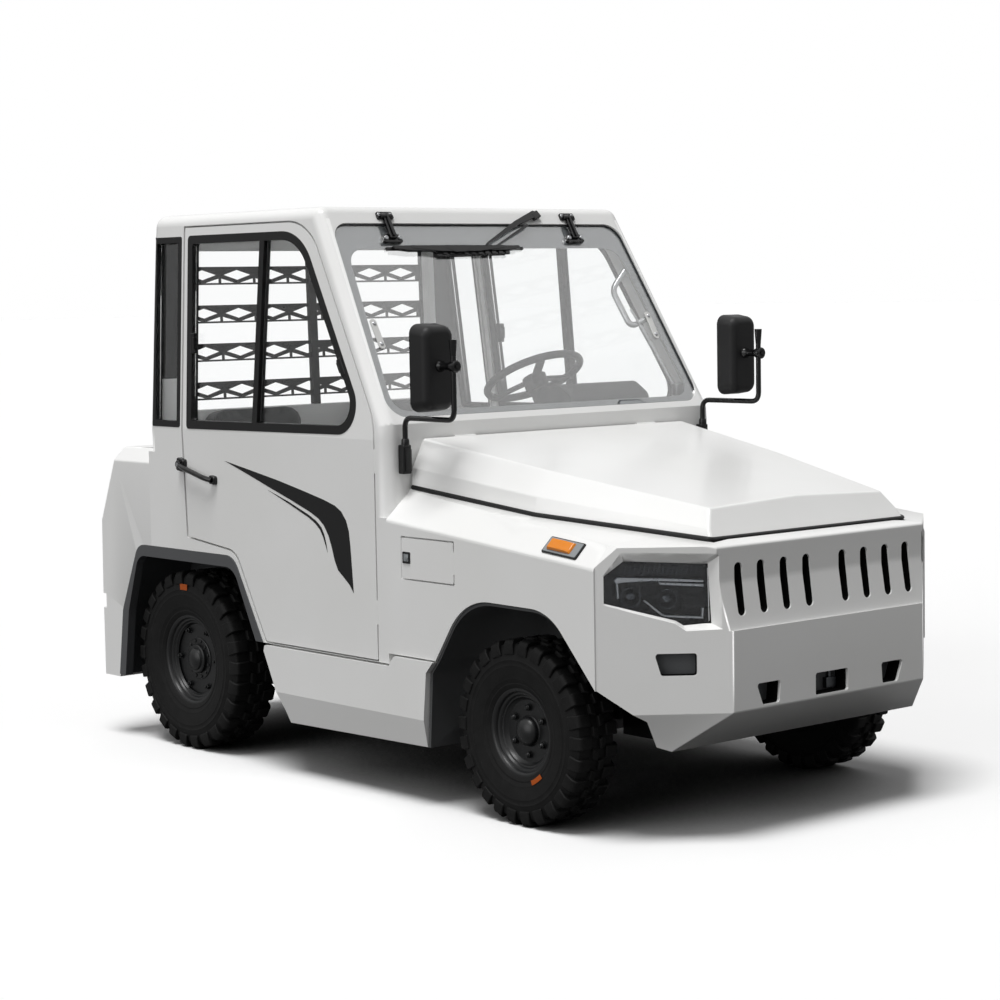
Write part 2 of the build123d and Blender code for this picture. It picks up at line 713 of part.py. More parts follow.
def turnLamp(side):
    """lies on the sloping band between the fender's ridge and crease."""
    spots = []
    for x in (turnLampX - turnLampSize[0] / 2, turnLampX + turnLampSize[0] / 2):
        row = fenderRow(x)
        spots.append((Vector(x, side * bodyHalf, row[1]), Vector(x, side * row[2], row[3])))
    ridge = spots[1][0] - spots[0][0]
    rise = spots[0][1] - spots[0][0]
    out = ridge.cross(rise).normalized()
    if out.Z < 0:
        out = out * -1
    middle = (spots[0][0] + spots[1][1]) * 0.5
    plane = Plane(origin=middle + out * (turnLampSize[2] / 2 + seat * 2), x_dir=ridge, z_dir=out)
    return plane * Box(*turnLampSize)


def signalLamps():
    pieces = []
    for side in (-1, 1):
        y0, y1 = sorted((side * (bodyHalf - 198), side * (bodyHalf - 72)))
        pieces.append(box(bodyRearX - 3, bodyRearX + 12 - seat, y0, y1, 602, 698))
        pieces.append(turnLamp(side))
    return pieces


# ---- rear guard ----
bandHeight = 68.0
diamondPitch = 158.0
bandCount = 4
diamondCount = 7
guardHalf, guardLow, guardTop = bodyHalf - 90.0, beltZ + 15.0, roofSeamZ - 35.0
guardOpenHalf, guardOpenLow, guardOpenTop = bodyHalf - 190.0, beltZ + 52.0, roofSeamZ - 87.0
guardDepth = 24.0
bandPitch = (guardOpenTop - guardOpenLow - 162.0) / (bandCount - 1)
sheet = 5.0                # thickness of the pierced bands


def onRearWall(shape):
    """turns what was drawn against an upright rear wall onto the leaning one."""
    lean = degrees(atan2(cabRearLean, roofTopZ - (beltZ - 100)))
    return Pos(cabRearX, 0, beltZ - 100) * Rot(0, -lean, 0) * Pos(-cabRearX, 0, -(beltZ - 100)) * shape


def rearGuard():
    x1 = cabRearX - seat
    x0 = x1 - guardDepth
    guard = box(x0, x1, -guardHalf, guardHalf, guardLow, guardTop)
    guard -= box(x0 - 5, x1 + 5, -guardOpenHalf, guardOpenHalf, guardOpenLow, guardOpenTop)
    x0, x1 = x1 - 14 - sheet, x1 - 14
    for row in range(bandCount):
        top = guardOpenTop - 59 - row * bandPitch
        band = box(x0, x1, -guardOpenHalf, guardOpenHalf, top - bandHeight, top)
        for i in range(diamondCount):
            y = (i - (diamondCount - 1) / 2) * diamondPitch
            cut = [(y - 62, top - 31), (y, top - 12), (y + 62, top - 31), (y, top - 50)]
            band -= prismX(cut, x0 - 5, x1 + 5)
            for hand in (-1, 1):
                low = top - bandHeight + 7
                nook = [(y + hand * 12, low), (y + hand * 74, low), (y + hand * 74, top - 44)]
                if abs(y + hand * 74) < guardOpenHalf:
                    band -= prismX(nook, x0 - 5, x1 + 5)
        guard += band
    guard += box(x0 - 8, x1 + 8, 14, 47, guardOpenLow, guardOpenTop)
    return onRearWall(guard)


# ---- chassis ----
railIn, railOut = 290.0, 330.0
railLow, railTop = 250.0, floorTopZ - floorThick
saddleZ = rearTyreR + 65.0


def chassisFrame():
    frame = None
    for side in (-1, 1):
        y0, y1 = sorted((side * railIn, side * railOut))
        rail = box(bodyRearX + 20, bumperX - 5, y0, y1, railLow, railTop)
        rail -= box(rearAxleX - 80, rearAxleX + 80, y0 - 1, y1 + 1, 200, saddleZ)
        rail -= box(frontAxleX - 70, frontAxleX + 70, y0 - 1, y1 + 1, 200, 350)
        frame = rail if frame is None else frame + rail
    for x in (-1250, -600, 100, 600, bumperX - 65):
        frame += box(x - 30, x + 30, -railIn, railIn, 330, railTop)
    frame += box(bodyRearX, bodyRearX + 20, -archInY - 15, archInY + 15, railLow, railTop)
    for z in (400, 470):
        frame += box(bumperX - 5, noseX - 65, -60, 60, z, z + 20)
    frame += box(bumperX - 15, bumperX + 1, -railOut, railOut, 380, 560)
    for side in (-1, 1):
        for x in (-250, 250):
            y0, y1 = sorted((side * railOut, side * skirtInner))
            frame += box(x - 25, x + 25, y0, y1, 380, railTop)
    frame -= tubeZ(noseX - 105, 0, 16, 380, 500)
    return frame


def towCoupling():
    x0, x1 = -1565, bodyRearX
    jaw = box(x0, x1, -60, 60, 270, 290) + box(x0, x1, -60, 60, 380, 400)
    jaw += box(x1 - 20, x1, -90, 90, 262, 408)
    return jaw - tubeZ(-1525, 0, 15.5, 250, 420)


def towPin():
    return tubeZ(-1525, 0, 15, 262, 430) + tubeZ(-1525, 0, 24, 400.3, 412) + tubeX(0, 432, 7, -1560, -1490)


def rearAxle():
    body = tubeY(rearAxleX, rearTyreR, axleTubeR, -archInY, archInY)
    body += tubeY(rearAxleX, rearTyreR, 95, -90, 90)
    for side in (-1, 1):
        y0, y1 = sorted((side * (railIn - 5), side * (railOut + 5)))
        body += box(rearAxleX - 60, rearAxleX + 60, y0, y1, rearTyreR, saddleZ)
        y0, y1 = sorted((side * (archInY - 10), side * (rearTrackHalf + 30)))
        body += tubeY(rearAxleX, rearTyreR, rearSpindleR, y0, y1)
        body += tubeY(rearAxleX, rearTyreR, 92, *sorted((side * (archInY - 10), side * (archInY + 40))))
    return body


def frontAxle():
    body = box(frontAxleX - 30, frontAxleX + 30, -kingpinHalf + 30, kingpinHalf - 30,
               frontTyreR - 35, frontTyreR + 35)
    for side in (-1, 1):
        y0, y1 = sorted((side * (railIn - 5), side * (railOut + 5)))
        body += box(frontAxleX - 55, frontAxleX + 55, y0, y1, frontTyreR, 350)
        body += tubeZ(frontAxleX, side * kingpinHalf, 34, frontTyreR - 55, frontTyreR + 55)
    for side in (-1, 1):
        body -= tubeZ(frontAxleX, side * kingpinHalf, kingpinR + pinGap, 100, 500)
    return body


def knuckle(side):
    k = side * kingpinHalf
    body = tubeZ(frontAxleX, k, kingpinR, frontTyreR - 72, frontTyreR + 72)
    for z0, z1 in ((-72, -58), (58, 72)):
        body += tubeZ(frontAxleX, k, 34, frontTyreR + z0, frontTyreR + z1)
        y0, y1 = sorted((k, k + side * 54))
        body += box(frontAxleX - 34, frontAxleX + 34, y0, y1, frontTyreR + z0, frontTyreR + z1)
    y0, y1 = sorted((k + side * 38, k + side * 54))
    body += box(frontAxleX - 34, frontAxleX + 34, y0, y1, frontTyreR - 72, frontTyreR + 72)
    body += tubeY(frontAxleX, frontTyreR, spindleR, *sorted((k + side * 50, side * (frontTrackHalf + 35))))
    return body


# ---- wheels ----
def ringPoints(radius):
    """corners of a ring with one corner for each lug."""
    pitch = 2 * pi / lugCount
    return [(radius * sin((i + 0.5) * pitch), radius * cos((i + 0.5) * pitch)) for i in range(lugCount)]


def treadPoints(radius, shift):
    """outline of one shoulder of the tread: each lug's two flanks, then the gap to the next lug."""
    pitch = 2 * pi / lugCount
    half = pitch * lugShare / 2
    tip = radius / cos(pitch / 2 - half)
    points = []
    for i in range(lugCount):
        middle = (i + shift) * pitch
        for angle, r in ((middle - half, radius - lugHeight), (middle - half, tip),
                         (middle + half, tip), (middle + half, radius - lugHeight)):
            points.append((r * sin(angle), r * cos(angle)))
    return points


def ringFace(points, y):
    return Plane.XZ.offset(-y) * make_face(Polyline(*points, close=True))


def dishedPlug(small, large, y0, y1):
    """flat-sided cone between two rings of corners."""
    first = [(px, y0, pz) for px, pz in ringPoints(small)]
    second = [(px, y1, pz) for px, pz in ringPoints(large)]
    faces = [Face(Wire.make_polygon(first)), Face(Wire.make_polygon(second))]
    for i in range(lugCount):
        faces.append(Face(Wire.make_polygon([first[i - 1], first[i], second[i], second[i - 1]])))
    return Solid(Shell(faces))


def tyre(x, side, radius, width, track, rimR):
    w = width / 2
    body = extrude(ringFace(treadPoints(radius, 0), 0), amount=-w)
    body += extrude(ringFace(treadPoints(radius, 0.5), 0), amount=w)
    dish = rimR + (radius - rimR) * dishShare
    for hand in (-1, 1):
        body -= dishedPlug(rimR + beadHeight, dish, hand * w * beadShare, hand * (w + 1))
    hole = (rimR + seat) / cos(pi / lugCount)
    body -= extrude(ringFace(ringPoints(hole), -w), amount=-2 * w)
    return Pos(x, side * track, radius) * body


def rim(x, side, radius, width, track, rimR, boreR, nutCircle, nutR):
    w = width / 2 * beadShare + seat
    s = side
    # axial distance from the tyre's middle (outboard positive), radius
    profile = [
        (-w - 8, rimR + 14), (-w - 8, rimR - 3), (w - 35, rimR - 26), (w - 45, nutCircle + 18),
        (w - 45, boreR), (w - 30, boreR), (w - 30, nutCircle + 16), (w - 18, rimR - 22),
        (w + 8, rimR - 8), (w + 8, rimR + 14), (w, rimR + 14), (w, rimR), (-w, rimR),
        (-w, rimR + 14),
    ]
    face = make_face(Polyline(*[(s * a, r) for a, r in profile], close=True))
    face = Plane(origin=(0, 0, 0), x_dir=(0, 1, 0), z_dir=(-1, 0, 0)) * face
    if face.center().Z < 0:
        face = mirror(face, Plane.XY)
    body = revolve(face, Axis.Y)
    cap = tubeY(0, 0, boreR + 22, *sorted((s * (w - 32), s * (w + 16))))
    cap -= tubeY(0, 0, boreR, *sorted((s * (w - 80), s * (w - 4))))
    body += cap
    for i in range(6):
        a = radians(i * 60 + 30)
        body += Pos(nutCircle * cos(a), 0, nutCircle * sin(a)) * tubeY(
            0, 0, nutR, *sorted((s * (w - 32), s * (w - 16))))
    return Pos(x, side * track, 0) * body


# ---- cab interior ----
seatHalfGap = 360.0        # middle of a seat from the centre line
seatBoxTop = rearArchTop + 7.0
cushionThick = 110.0
backThick = 90.0
backHeight = 500.0
backLean = 6.0


def seatBox():
    return box(-1065, -462, -475, 475, floorTopZ, seatBoxTop)


def seatCushions():
    pieces = []
    for side in (-1, 1):
        y = side * seatHalfGap
        block = box(-912, -440, y - 225, y + 225, seatBoxTop + seat, seatBoxTop + cushionThick)
        pieces.append(fillet(block.edges().filter_by(Axis.Z), 50))
    return pieces


def seatBacks():
    pieces = []
    half = backThick / 2
    for side in (-1, 1):
        y = side * seatHalfGap
        block = box(-half, half, y - 215, y + 215, 0, backHeight)
        block = fillet(block.edges().filter_by(Axis.X), 70)
        rise = half * sin(radians(backLean)) + seat
        pieces.append(Pos(-965, 0, seatBoxTop + rise) * Rot(0, -backLean, 0) * block)
    return pieces


def dashboard():
    back = cowlX - sideWall - seat
    profile = [(back, 640, 0), (back, 1235, 0), (60, 1235, 30), (-20, 1150, 30), (40, 980, 30), (120, 640, 0)]
    body = prismY(profile, -skirtInner, skirtInner)
    hood = prismY([(230, 1230, 0), (222, 1290, 30), (150, 1335, 40), (60, 1320, 30), (20, 1225, 0)],
                  columnY - 190, columnY + 190)
    return body + hood


columnTilt = 28.0          # lean of the steering column from the vertical
columnY = 330.0
wheelX, wheelZ = -190.0, 1350.0


def onColumn(shape):
    return Pos(wheelX, columnY, wheelZ) * Rot(0, -columnTilt, 0) * shape


def driverControls():
    column = onColumn(Pos(0, 0, -58 - seat - 180) * Cylinder(32, 360)) - dashboard()
    pedals = []
    for y in (columnY - 130, columnY + 90):
        pedals.append(box(40, 52, y - 40, y + 40, 520, 620) + box(46, 120, y - 8, y + 8, 560, 640))
    return [column] + pedals


def steeringWheel():
    ring = Torus(180, 14)
    hub = Pos(0, 0, -30) * Cylinder(45, 56)
    spokes = None
    for angle in (90, 210, 330):
        spoke = Rot(0, 0, angle) * (Pos(100, 0, -12) * Box(150, 30, 10))
        spokes = spoke if spokes is None else spokes + spoke
    return onColumn(ring + hub + spokes)


# ---- outside fittings ----
mirrorY = bodyHalf - 58.0    # middle of a mirror's head
mirrorX = cowlX + 190.0
mirrorReach = 291.0          # the arm rises this far ahead of the cab
mirrorHead = (72.0, 142.0, 286.0)


def mirrorArm(side):
    armY = bodyHalf - 70
    armX = cowlX + mirrorReach
    runY = (armY + mirrorY) / 2
    clamp = box(cowlX + 0.3, cowlX + 34, *sorted((side * (armY - 18), side * (armY + 14))), 1090, 1170)
    post = tubeZ(cowlX + 18, side * armY, 9, 1165, 1262)
    bend = tubeX(side * runY, 1262, 9, cowlX + 10, armX + 9)
    rise = tubeZ(armX, side * mirrorY, 9, 1254, 1524)
    long, wide, high = mirrorHead
    head = Pos(mirrorX, side * mirrorY, 1428) * Box(long, wide, high)
    head = fillet(head.edges().filter_by(Axis.X), 34)
    ball = tubeX(side * mirrorY, 1434, 16, mirrorX + long / 2 - 4, armX + 20)
    return clamp + post + bend + rise + head + ball


def onScreen(y, up, out):
    """a place on the windscreen's plane: across, up the slope, and out of it."""
    slope = Vector(-screenSlope, 0, 1).normalized()
    away = Vector(1, 0, screenSlope).normalized()
    base = Vector(cowlX, y, screenLowZ) + slope * up + away * out
    return Plane(origin=base, x_dir=(0, 1, 0), z_dir=away)


glassDrop = 10.0           # the glass lies this far below the frame's face
screenHingeHalf = 424.0
wiperUp = screenTopUp - 101.0
wiperPivot = (282.0, screenTopUp + 45.0)


def screenFittings():
    pieces = []
    low = -glassDrop + seat
    for y in (-screenHingeHalf, screenHingeHalf):
        hinge = onScreen(y, screenTopUp - 65, (low + 4) / 2) * Box(78, 26, 4 - low)
        hinge += onScreen(y, screenTopUp - 12, 6) * Box(22, 128, 8)
        hinge += onScreen(y, screenTopUp + 41, (seat + 8) / 2) * Box(62, 22, 8 - seat)
        pieces.append(hinge)
    blade = onScreen(-154, wiperUp, low + 7) * Box(620, 10, 14)
    blade += onScreen(-154, wiperUp, low + 16) * Box(150, 18, 8)
    dy = wiperPivot[0] + 154
    dv = wiperPivot[1] - wiperUp
    arm = onScreen(-154 + dy / 2, wiperUp + dv / 2, 12) * (
        Rot(0, 0, degrees(atan2(dv, dy))) * Box((dy * dy + dv * dv) ** 0.5, 14, 8))
    pivot = onScreen(wiperPivot[0], wiperPivot[1], (seat + 20) / 2) * Box(34, 30, 20 - seat)
    pieces.append(blade + arm + pivot)
    for side in (-1, 1):
        pieces.append(onScreen(side * (bodyHalf - 123), screenTopUp - 430, low + 2.5) * Box(24, 112, 5))
    return pieces


def main():
    save(chassisFrame(), "chassis_frame")
    save(cabFloor(), "cab_floor")
    save(cabFrame(), "cab_frame")
    save(cabRoof(), "cab_roof")
    save(glassSheets(), "fixed_glass")
    save(quarterTrims(), "quarter_trims")
    save(rearGuard(), "rear_guard")
    save(hood(), "hood")
    save([fender(-1), fender(1)], "front_fenders")
    save(fuelFlap(), "fuel_flap")
    save(frontBumper(), "front_bumper")
    save(headLamps(), "headlamps")
    save([frontLiner(-1), frontLiner(1)], "front_arch_liners")
    save(radiator(), "radiator")
    save(engineBlock(), "engine_block")
    save([skirt(-1), skirt(1)], "side_skirts")
    save(rearBody(), "rear_body")
    save([rearLiner(-1), rearLiner(1)], "rear_arch_liners")
    save(signalLamps(), "signal_lamps")
    save(towCoupling(), "tow_coupling")
    save(towPin(), "tow_pin")
    save(rearAxle(), "rear_axle")
    save(frontAxle(), "front_axle")
    save(seatBox(), "seat_box")
    save(seatCushions(), "seat_cushions")
    save(seatBacks(), "seat_backs")
    save(dashboard(), "dashboard")
    save(driverControls(), "driver_controls")
    save(steeringWheel(), "steering_wheel")
    save([mirrorArm(-1), mirrorArm(1)], "mirrors")
    save(screenFittings(), "screen_fittings")
    for side, hand in ((-1, "right"), (1, "left")):
        save(doorPanel(side), "door_panel_" + hand)
        save(doorTrim(side), "door_trim_" + hand)
        save(doorGlass(side), "door_glass_" + hand)
        save(knuckle(side), "knuckle_" + hand)
        save(tyre(frontAxleX, side, frontTyreR, frontTyreW, frontTrackHalf, frontRimR), "front_tyre_" + hand)
        save(tyre(rearAxleX, side, rearTyreR, rearTyreW, rearTrackHalf, rearRimR), "rear_tyre_" + hand)
        save(Pos(0, 0, frontTyreR) * rim(frontAxleX, side, frontTyreR, frontTyreW, frontTrackHalf, frontRimR,
                                         spindleR + pinGap, 75, 9), "front_rim_" + hand)
        save(Pos(0, 0, rearTyreR) * rim(rearAxleX, side, rearTyreR, rearTyreW, rearTrackHalf, rearRimR,
                                        rearSpindleR + pinGap, 115, 11), "rear_rim_" + hand)


main()
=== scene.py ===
from math import cos, pi, radians, sin, sqrt

import bmesh
import bpy
from mathutils import Matrix, Vector


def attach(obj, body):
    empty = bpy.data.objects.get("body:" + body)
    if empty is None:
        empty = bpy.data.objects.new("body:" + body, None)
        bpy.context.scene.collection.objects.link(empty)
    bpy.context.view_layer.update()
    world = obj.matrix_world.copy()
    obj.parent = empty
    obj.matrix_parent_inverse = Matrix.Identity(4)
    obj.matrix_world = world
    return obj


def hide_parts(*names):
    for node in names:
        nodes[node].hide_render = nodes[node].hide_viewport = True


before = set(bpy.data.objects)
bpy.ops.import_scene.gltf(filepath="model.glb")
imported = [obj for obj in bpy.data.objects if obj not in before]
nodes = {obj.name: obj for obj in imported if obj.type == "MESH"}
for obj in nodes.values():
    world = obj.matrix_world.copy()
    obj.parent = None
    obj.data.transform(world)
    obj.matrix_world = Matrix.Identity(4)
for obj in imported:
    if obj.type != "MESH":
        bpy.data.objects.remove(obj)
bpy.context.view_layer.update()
scene = bpy.context.scene
print("frame loaded,", len(nodes), "CAD nodes")


def linear(hexText):
    # sRGB hex to a linear colour with alpha
    parts = [int(hexText[i:i + 2], 16) / 255 for i in (0, 2, 4)]
    return [c / 12.92 if c <= 0.04045 else ((c + 0.055) / 1.055) ** 2.4 for c in parts] + [1.0]


def addNode(tree, kind, settings=None, links=None):
    node = tree.nodes.new(kind)
    for key, value in (settings or {}).items():
        if isinstance(key, int) or key in node.inputs:
            node.inputs[key].default_value = value
        else:
            setattr(node, key, value)
    for key, socket in (links or {}).items():
        tree.links.new(socket, node.inputs[key])
    return node


def newMaterial(name, settings):
    # a material with its shader and the object's coordinates in metres
    material = bpy.data.materials.new(name)
    material.use_nodes = True
    tree = material.node_tree
    tree.nodes.clear()
    shader = addNode(tree, "ShaderNodeBsdfPrincipled", settings)
    addNode(tree, "ShaderNodeOutputMaterial", None, {"Surface": shader.outputs["BSDF"]})
    place = addNode(tree, "ShaderNodeTexCoord").outputs["Object"]
    return material, tree, shader, place


def perMetre(millimetres):
    return 1000.0 / millimetres  # noise and voronoi scale whose features are that wide


# baked enamel on pressed steel: clean white, a sharp clear surface with a faint spray ripple
paintLook = {"colour": "f3f3f2", "dust": "e9e9e6", "ripple": 5.0, "rippleDepth": 0.03, "roughness": 0.34}


def enamelPaint():
    material, tree, shader, place = newMaterial("whiteEnamelSprayed", {
        "Base Color": linear(paintLook["colour"]), "Roughness": paintLook["roughness"],
        "IOR": 1.45, "Coat Weight": 0.35, "Coat Roughness": 0.16})
    patches = addNode(tree, "ShaderNodeTexNoise", {"Scale": perMetre(420), "Detail": 3.0}, {"Vector": place})
    tone = addNode(tree, "ShaderNodeMapRange", {"From Min": 0.35, "From Max": 0.7, "To Max": 0.35},
                   {"Value": patches.outputs["Fac"]})
    mix = addNode(tree, "ShaderNodeMix", {"data_type": "RGBA", 6: linear(paintLook["colour"]),
                                          7: linear(paintLook["dust"])}, {0: tone.outputs["Result"]})
    tree.links.new(mix.outputs[2], shader.inputs["Base Color"])
    ripple = addNode(tree, "ShaderNodeTexNoise", {"Scale": perMetre(paintLook["ripple"]), "Detail": 1.0},
                     {"Vector": place})
    bump = addNode(tree, "ShaderNodeBump", {"Strength": paintLook["rippleDepth"], "Distance": 0.001},
                   {"Height": ripple.outputs["Fac"]})
    tree.links.new(bump.outputs["Normal"], shader.inputs["Normal"])
    return material


# moulded polypropylene: dark grey with a pebbled grain that breaks the highlight
def mouldedPlastic(name, colour, roughness, grain=2.2, depth=0.25, shine=0.3):
    material, tree, shader, place = newMaterial(name, {
        "Base Color": linear(colour), "Roughness": roughness, "IOR": 1.49, "Specular IOR Level": shine})
    pebbles = addNode(tree, "ShaderNodeTexVoronoi", {"Scale": perMetre(grain)}, {"Vector": place})
    drift = addNode(tree, "ShaderNodeTexNoise", {"Scale": perMetre(60), "Detail": 4.0}, {"Vector": place})
    rough = addNode(tree, "ShaderNodeMapRange", {"To Min": roughness - 0.08, "To Max": roughness + 0.1},
                    {"Value": drift.outputs["Fac"]})
    tree.links.new(rough.outputs["Result"], shader.inputs["Roughness"])
    bump = addNode(tree, "ShaderNodeBump", {"Strength": depth, "Distance": 0.0006},
                   {"Height": pebbles.outputs["Distance"]})
    tree.links.new(bump.outputs["Normal"], shader.inputs["Normal"])
    return material


# vulcanised tyre rubber: near black, matt, with a dusty bloom in broad patches
def tyreRubber():
    material, tree, shader, place = newMaterial("vulcanisedRubber", {
        "Base Color": linear("101011"), "Roughness": 0.62, "IOR": 1.52, "Specular IOR Level": 0.16})
    bloom = addNode(tree, "ShaderNodeTexNoise", {"Scale": perMetre(45), "Detail": 6.0, "Roughness": 0.65},
                    {"Vector": place})
    tone = addNode(tree, "ShaderNodeMapRange", {"From Min": 0.4, "From Max": 0.75}, {"Value": bloom.outputs["Fac"]})
    mix = addNode(tree, "ShaderNodeMix", {"data_type": "RGBA", 6: linear("090909"), 7: linear("181818")},
                  {0: tone.outputs["Result"]})
    tree.links.new(mix.outputs[2], shader.inputs["Base Color"])
    rough = addNode(tree, "ShaderNodeMapRange", {"To Min": 0.5, "To Max": 0.75}, {"Value": bloom.outputs["Fac"]})
    tree.links.new(rough.outputs["Result"], shader.inputs["Roughness"])
    grain = addNode(tree, "ShaderNodeTexNoise", {"Scale": perMetre(3), "Detail": 3.0}, {"Vector": place})
    bump = addNode(tree, "ShaderNodeBump", {"Strength": 0.2, "Distance": 0.0008}, {"Height": grain.outputs["Fac"]})
    tree.links.new(bump.outputs["Normal"], shader.inputs["Normal"])
    return material


# powder coat on steel: an even dark satin with a fine orange peel
def powderCoat(name, colour, roughness, metallic=0.0):
    material, tree, shader, place = newMaterial(name, {
        "Base Color": linear(colour), "Roughness": roughness, "Metallic": metallic, "Coat Weight": 0.1,
        "Coat Roughness": 0.25, "Specular IOR Level": 0.35})
    peel = addNode(tree, "ShaderNodeTexNoise", {"Scale": perMetre(4), "Detail": 2.0}, {"Vector": place})
    bump = addNode(tree, "ShaderNodeBump", {"Strength": 0.12, "Distance": 0.0008}, {"Height": peel.outputs["Fac"]})
    tree.links.new(bump.outputs["Normal"], shader.inputs["Normal"])
    drift = addNode(tree, "ShaderNodeTexNoise", {"Scale": perMetre(90), "Detail": 5.0}, {"Vector": place})
    rough = addNode(tree, "ShaderNodeMapRange", {"To Min": roughness - 0.08, "To Max": roughness + 0.12},
                    {"Value": drift.outputs["Fac"]})
    tree.links.new(rough.outputs["Result"], shader.inputs["Roughness"])
    return material


# zinc-plated steel: pale grey metal with cloudy spangle and soft highlights
def platedSteel(name, colour, roughness):
    material, tree, shader, place = newMaterial(name, {
        "Base Color": linear(colour), "Roughness": roughness, "Metallic": 1.0})
    cloud = addNode(tree, "ShaderNodeTexNoise", {"Scale": perMetre(9), "Detail": 4.0}, {"Vector": place})
    rough = addNode(tree, "ShaderNodeMapRange", {"To Min": roughness - 0.08, "To Max": roughness + 0.12},
                    {"Value": cloud.outputs["Fac"]})
    tree.links.new(rough.outputs["Result"], shader.inputs["Roughness"])
    bump = addNode(tree, "ShaderNodeBump", {"Strength": 0.08, "Distance": 0.0005}, {"Height": cloud.outputs["Fac"]})
    tree.links.new(bump.outputs["Normal"], shader.inputs["Normal"])
    return material


# float glass, toughened: clear with a cool green tint and the faintest waviness
def floatGlass(name, tint, index=1.3, roughness=0.0, wave=0.006):
    material, tree, shader, place = newMaterial(name, {
        "Base Color": linear(tint), "Roughness": roughness, "IOR": index, "Transmission Weight": 1.0})
    swell = addNode(tree, "ShaderNodeTexNoise", {"Scale": perMetre(260), "Detail": 0.0}, {"Vector": place})
    bump = addNode(tree, "ShaderNodeBump", {"Strength": wave, "Distance": 0.01}, {"Height": swell.outputs["Fac"]})
    tree.links.new(bump.outputs["Normal"], shader.inputs["Normal"])
    return material


# moulded acrylic lens: saturated, glossy, with fine vertical ribs that spread the light
def ribbedLens(name, colour, clearness):
    material, tree, shader, place = newMaterial(name, {
        "Base Color": linear(colour), "Roughness": 0.2, "IOR": 1.49, "Transmission Weight": clearness,
        "Specular IOR Level": 0.35, "Coat Weight": 0.3, "Coat Roughness": 0.05})
    ribs = addNode(tree, "ShaderNodeTexWave", {"Scale": perMetre(7) / (2 * pi) * 3.1, "wave_type": "BANDS",
                                               "bands_direction": "X"}, {"Vector": place})
    bump = addNode(tree, "ShaderNodeBump", {"Strength": 0.35, "Distance": 0.0012}, {"Height": ribs.outputs["Fac"]})
    tree.links.new(bump.outputs["Normal"], shader.inputs["Normal"])
    return material


# woven-backed vinyl: dark, softly shiny, with a leather grain and darker creases
def seatVinyl():
    material, tree, shader, place = newMaterial("vinylEmbossed", {
        "Base Color": linear("141416"), "Roughness": 0.5, "IOR": 1.5, "Sheen Weight": 0.1,
        "Sheen Roughness": 0.5})
    grain = addNode(tree, "ShaderNodeTexVoronoi", {"Scale": perMetre(3.0), "feature": "DISTANCE_TO_EDGE"},
                    {"Vector": place})
    step = addNode(tree, "ShaderNodeMapRange", {"From Max": 0.12}, {"Value": grain.outputs["Distance"]})
    mix = addNode(tree, "ShaderNodeMix", {"data_type": "RGBA", 6: linear("0e0e10"), 7: linear("1a1b1d")},
                  {0: step.outputs["Result"]})
    tree.links.new(mix.outputs[2], shader.inputs["Base Color"])
    bump = addNode(tree, "ShaderNodeBump", {"Strength": 0.3, "Distance": 0.0008}, {"Height": step.outputs["Result"]})
    tree.links.new(bump.outputs["Normal"], shader.inputs["Normal"])
    return material


# vacuum-metallised reflector: bright mirror with a little haze
def brightReflector():
    material, tree, shader, place = newMaterial("metallisedReflector", {
        "Base Color": linear("e6e8ea"), "Roughness": 0.12, "Metallic": 1.0})
    haze = addNode(tree, "ShaderNodeTexNoise", {"Scale": perMetre(14), "Detail": 2.0}, {"Vector": place})
    rough = addNode(tree, "ShaderNodeMapRange", {"To Min": 0.05, "To Max": 0.2}, {"Value": haze.outputs["Fac"]})
    tree.links.new(rough.outputs["Result"], shader.inputs["Roughness"])
    return material


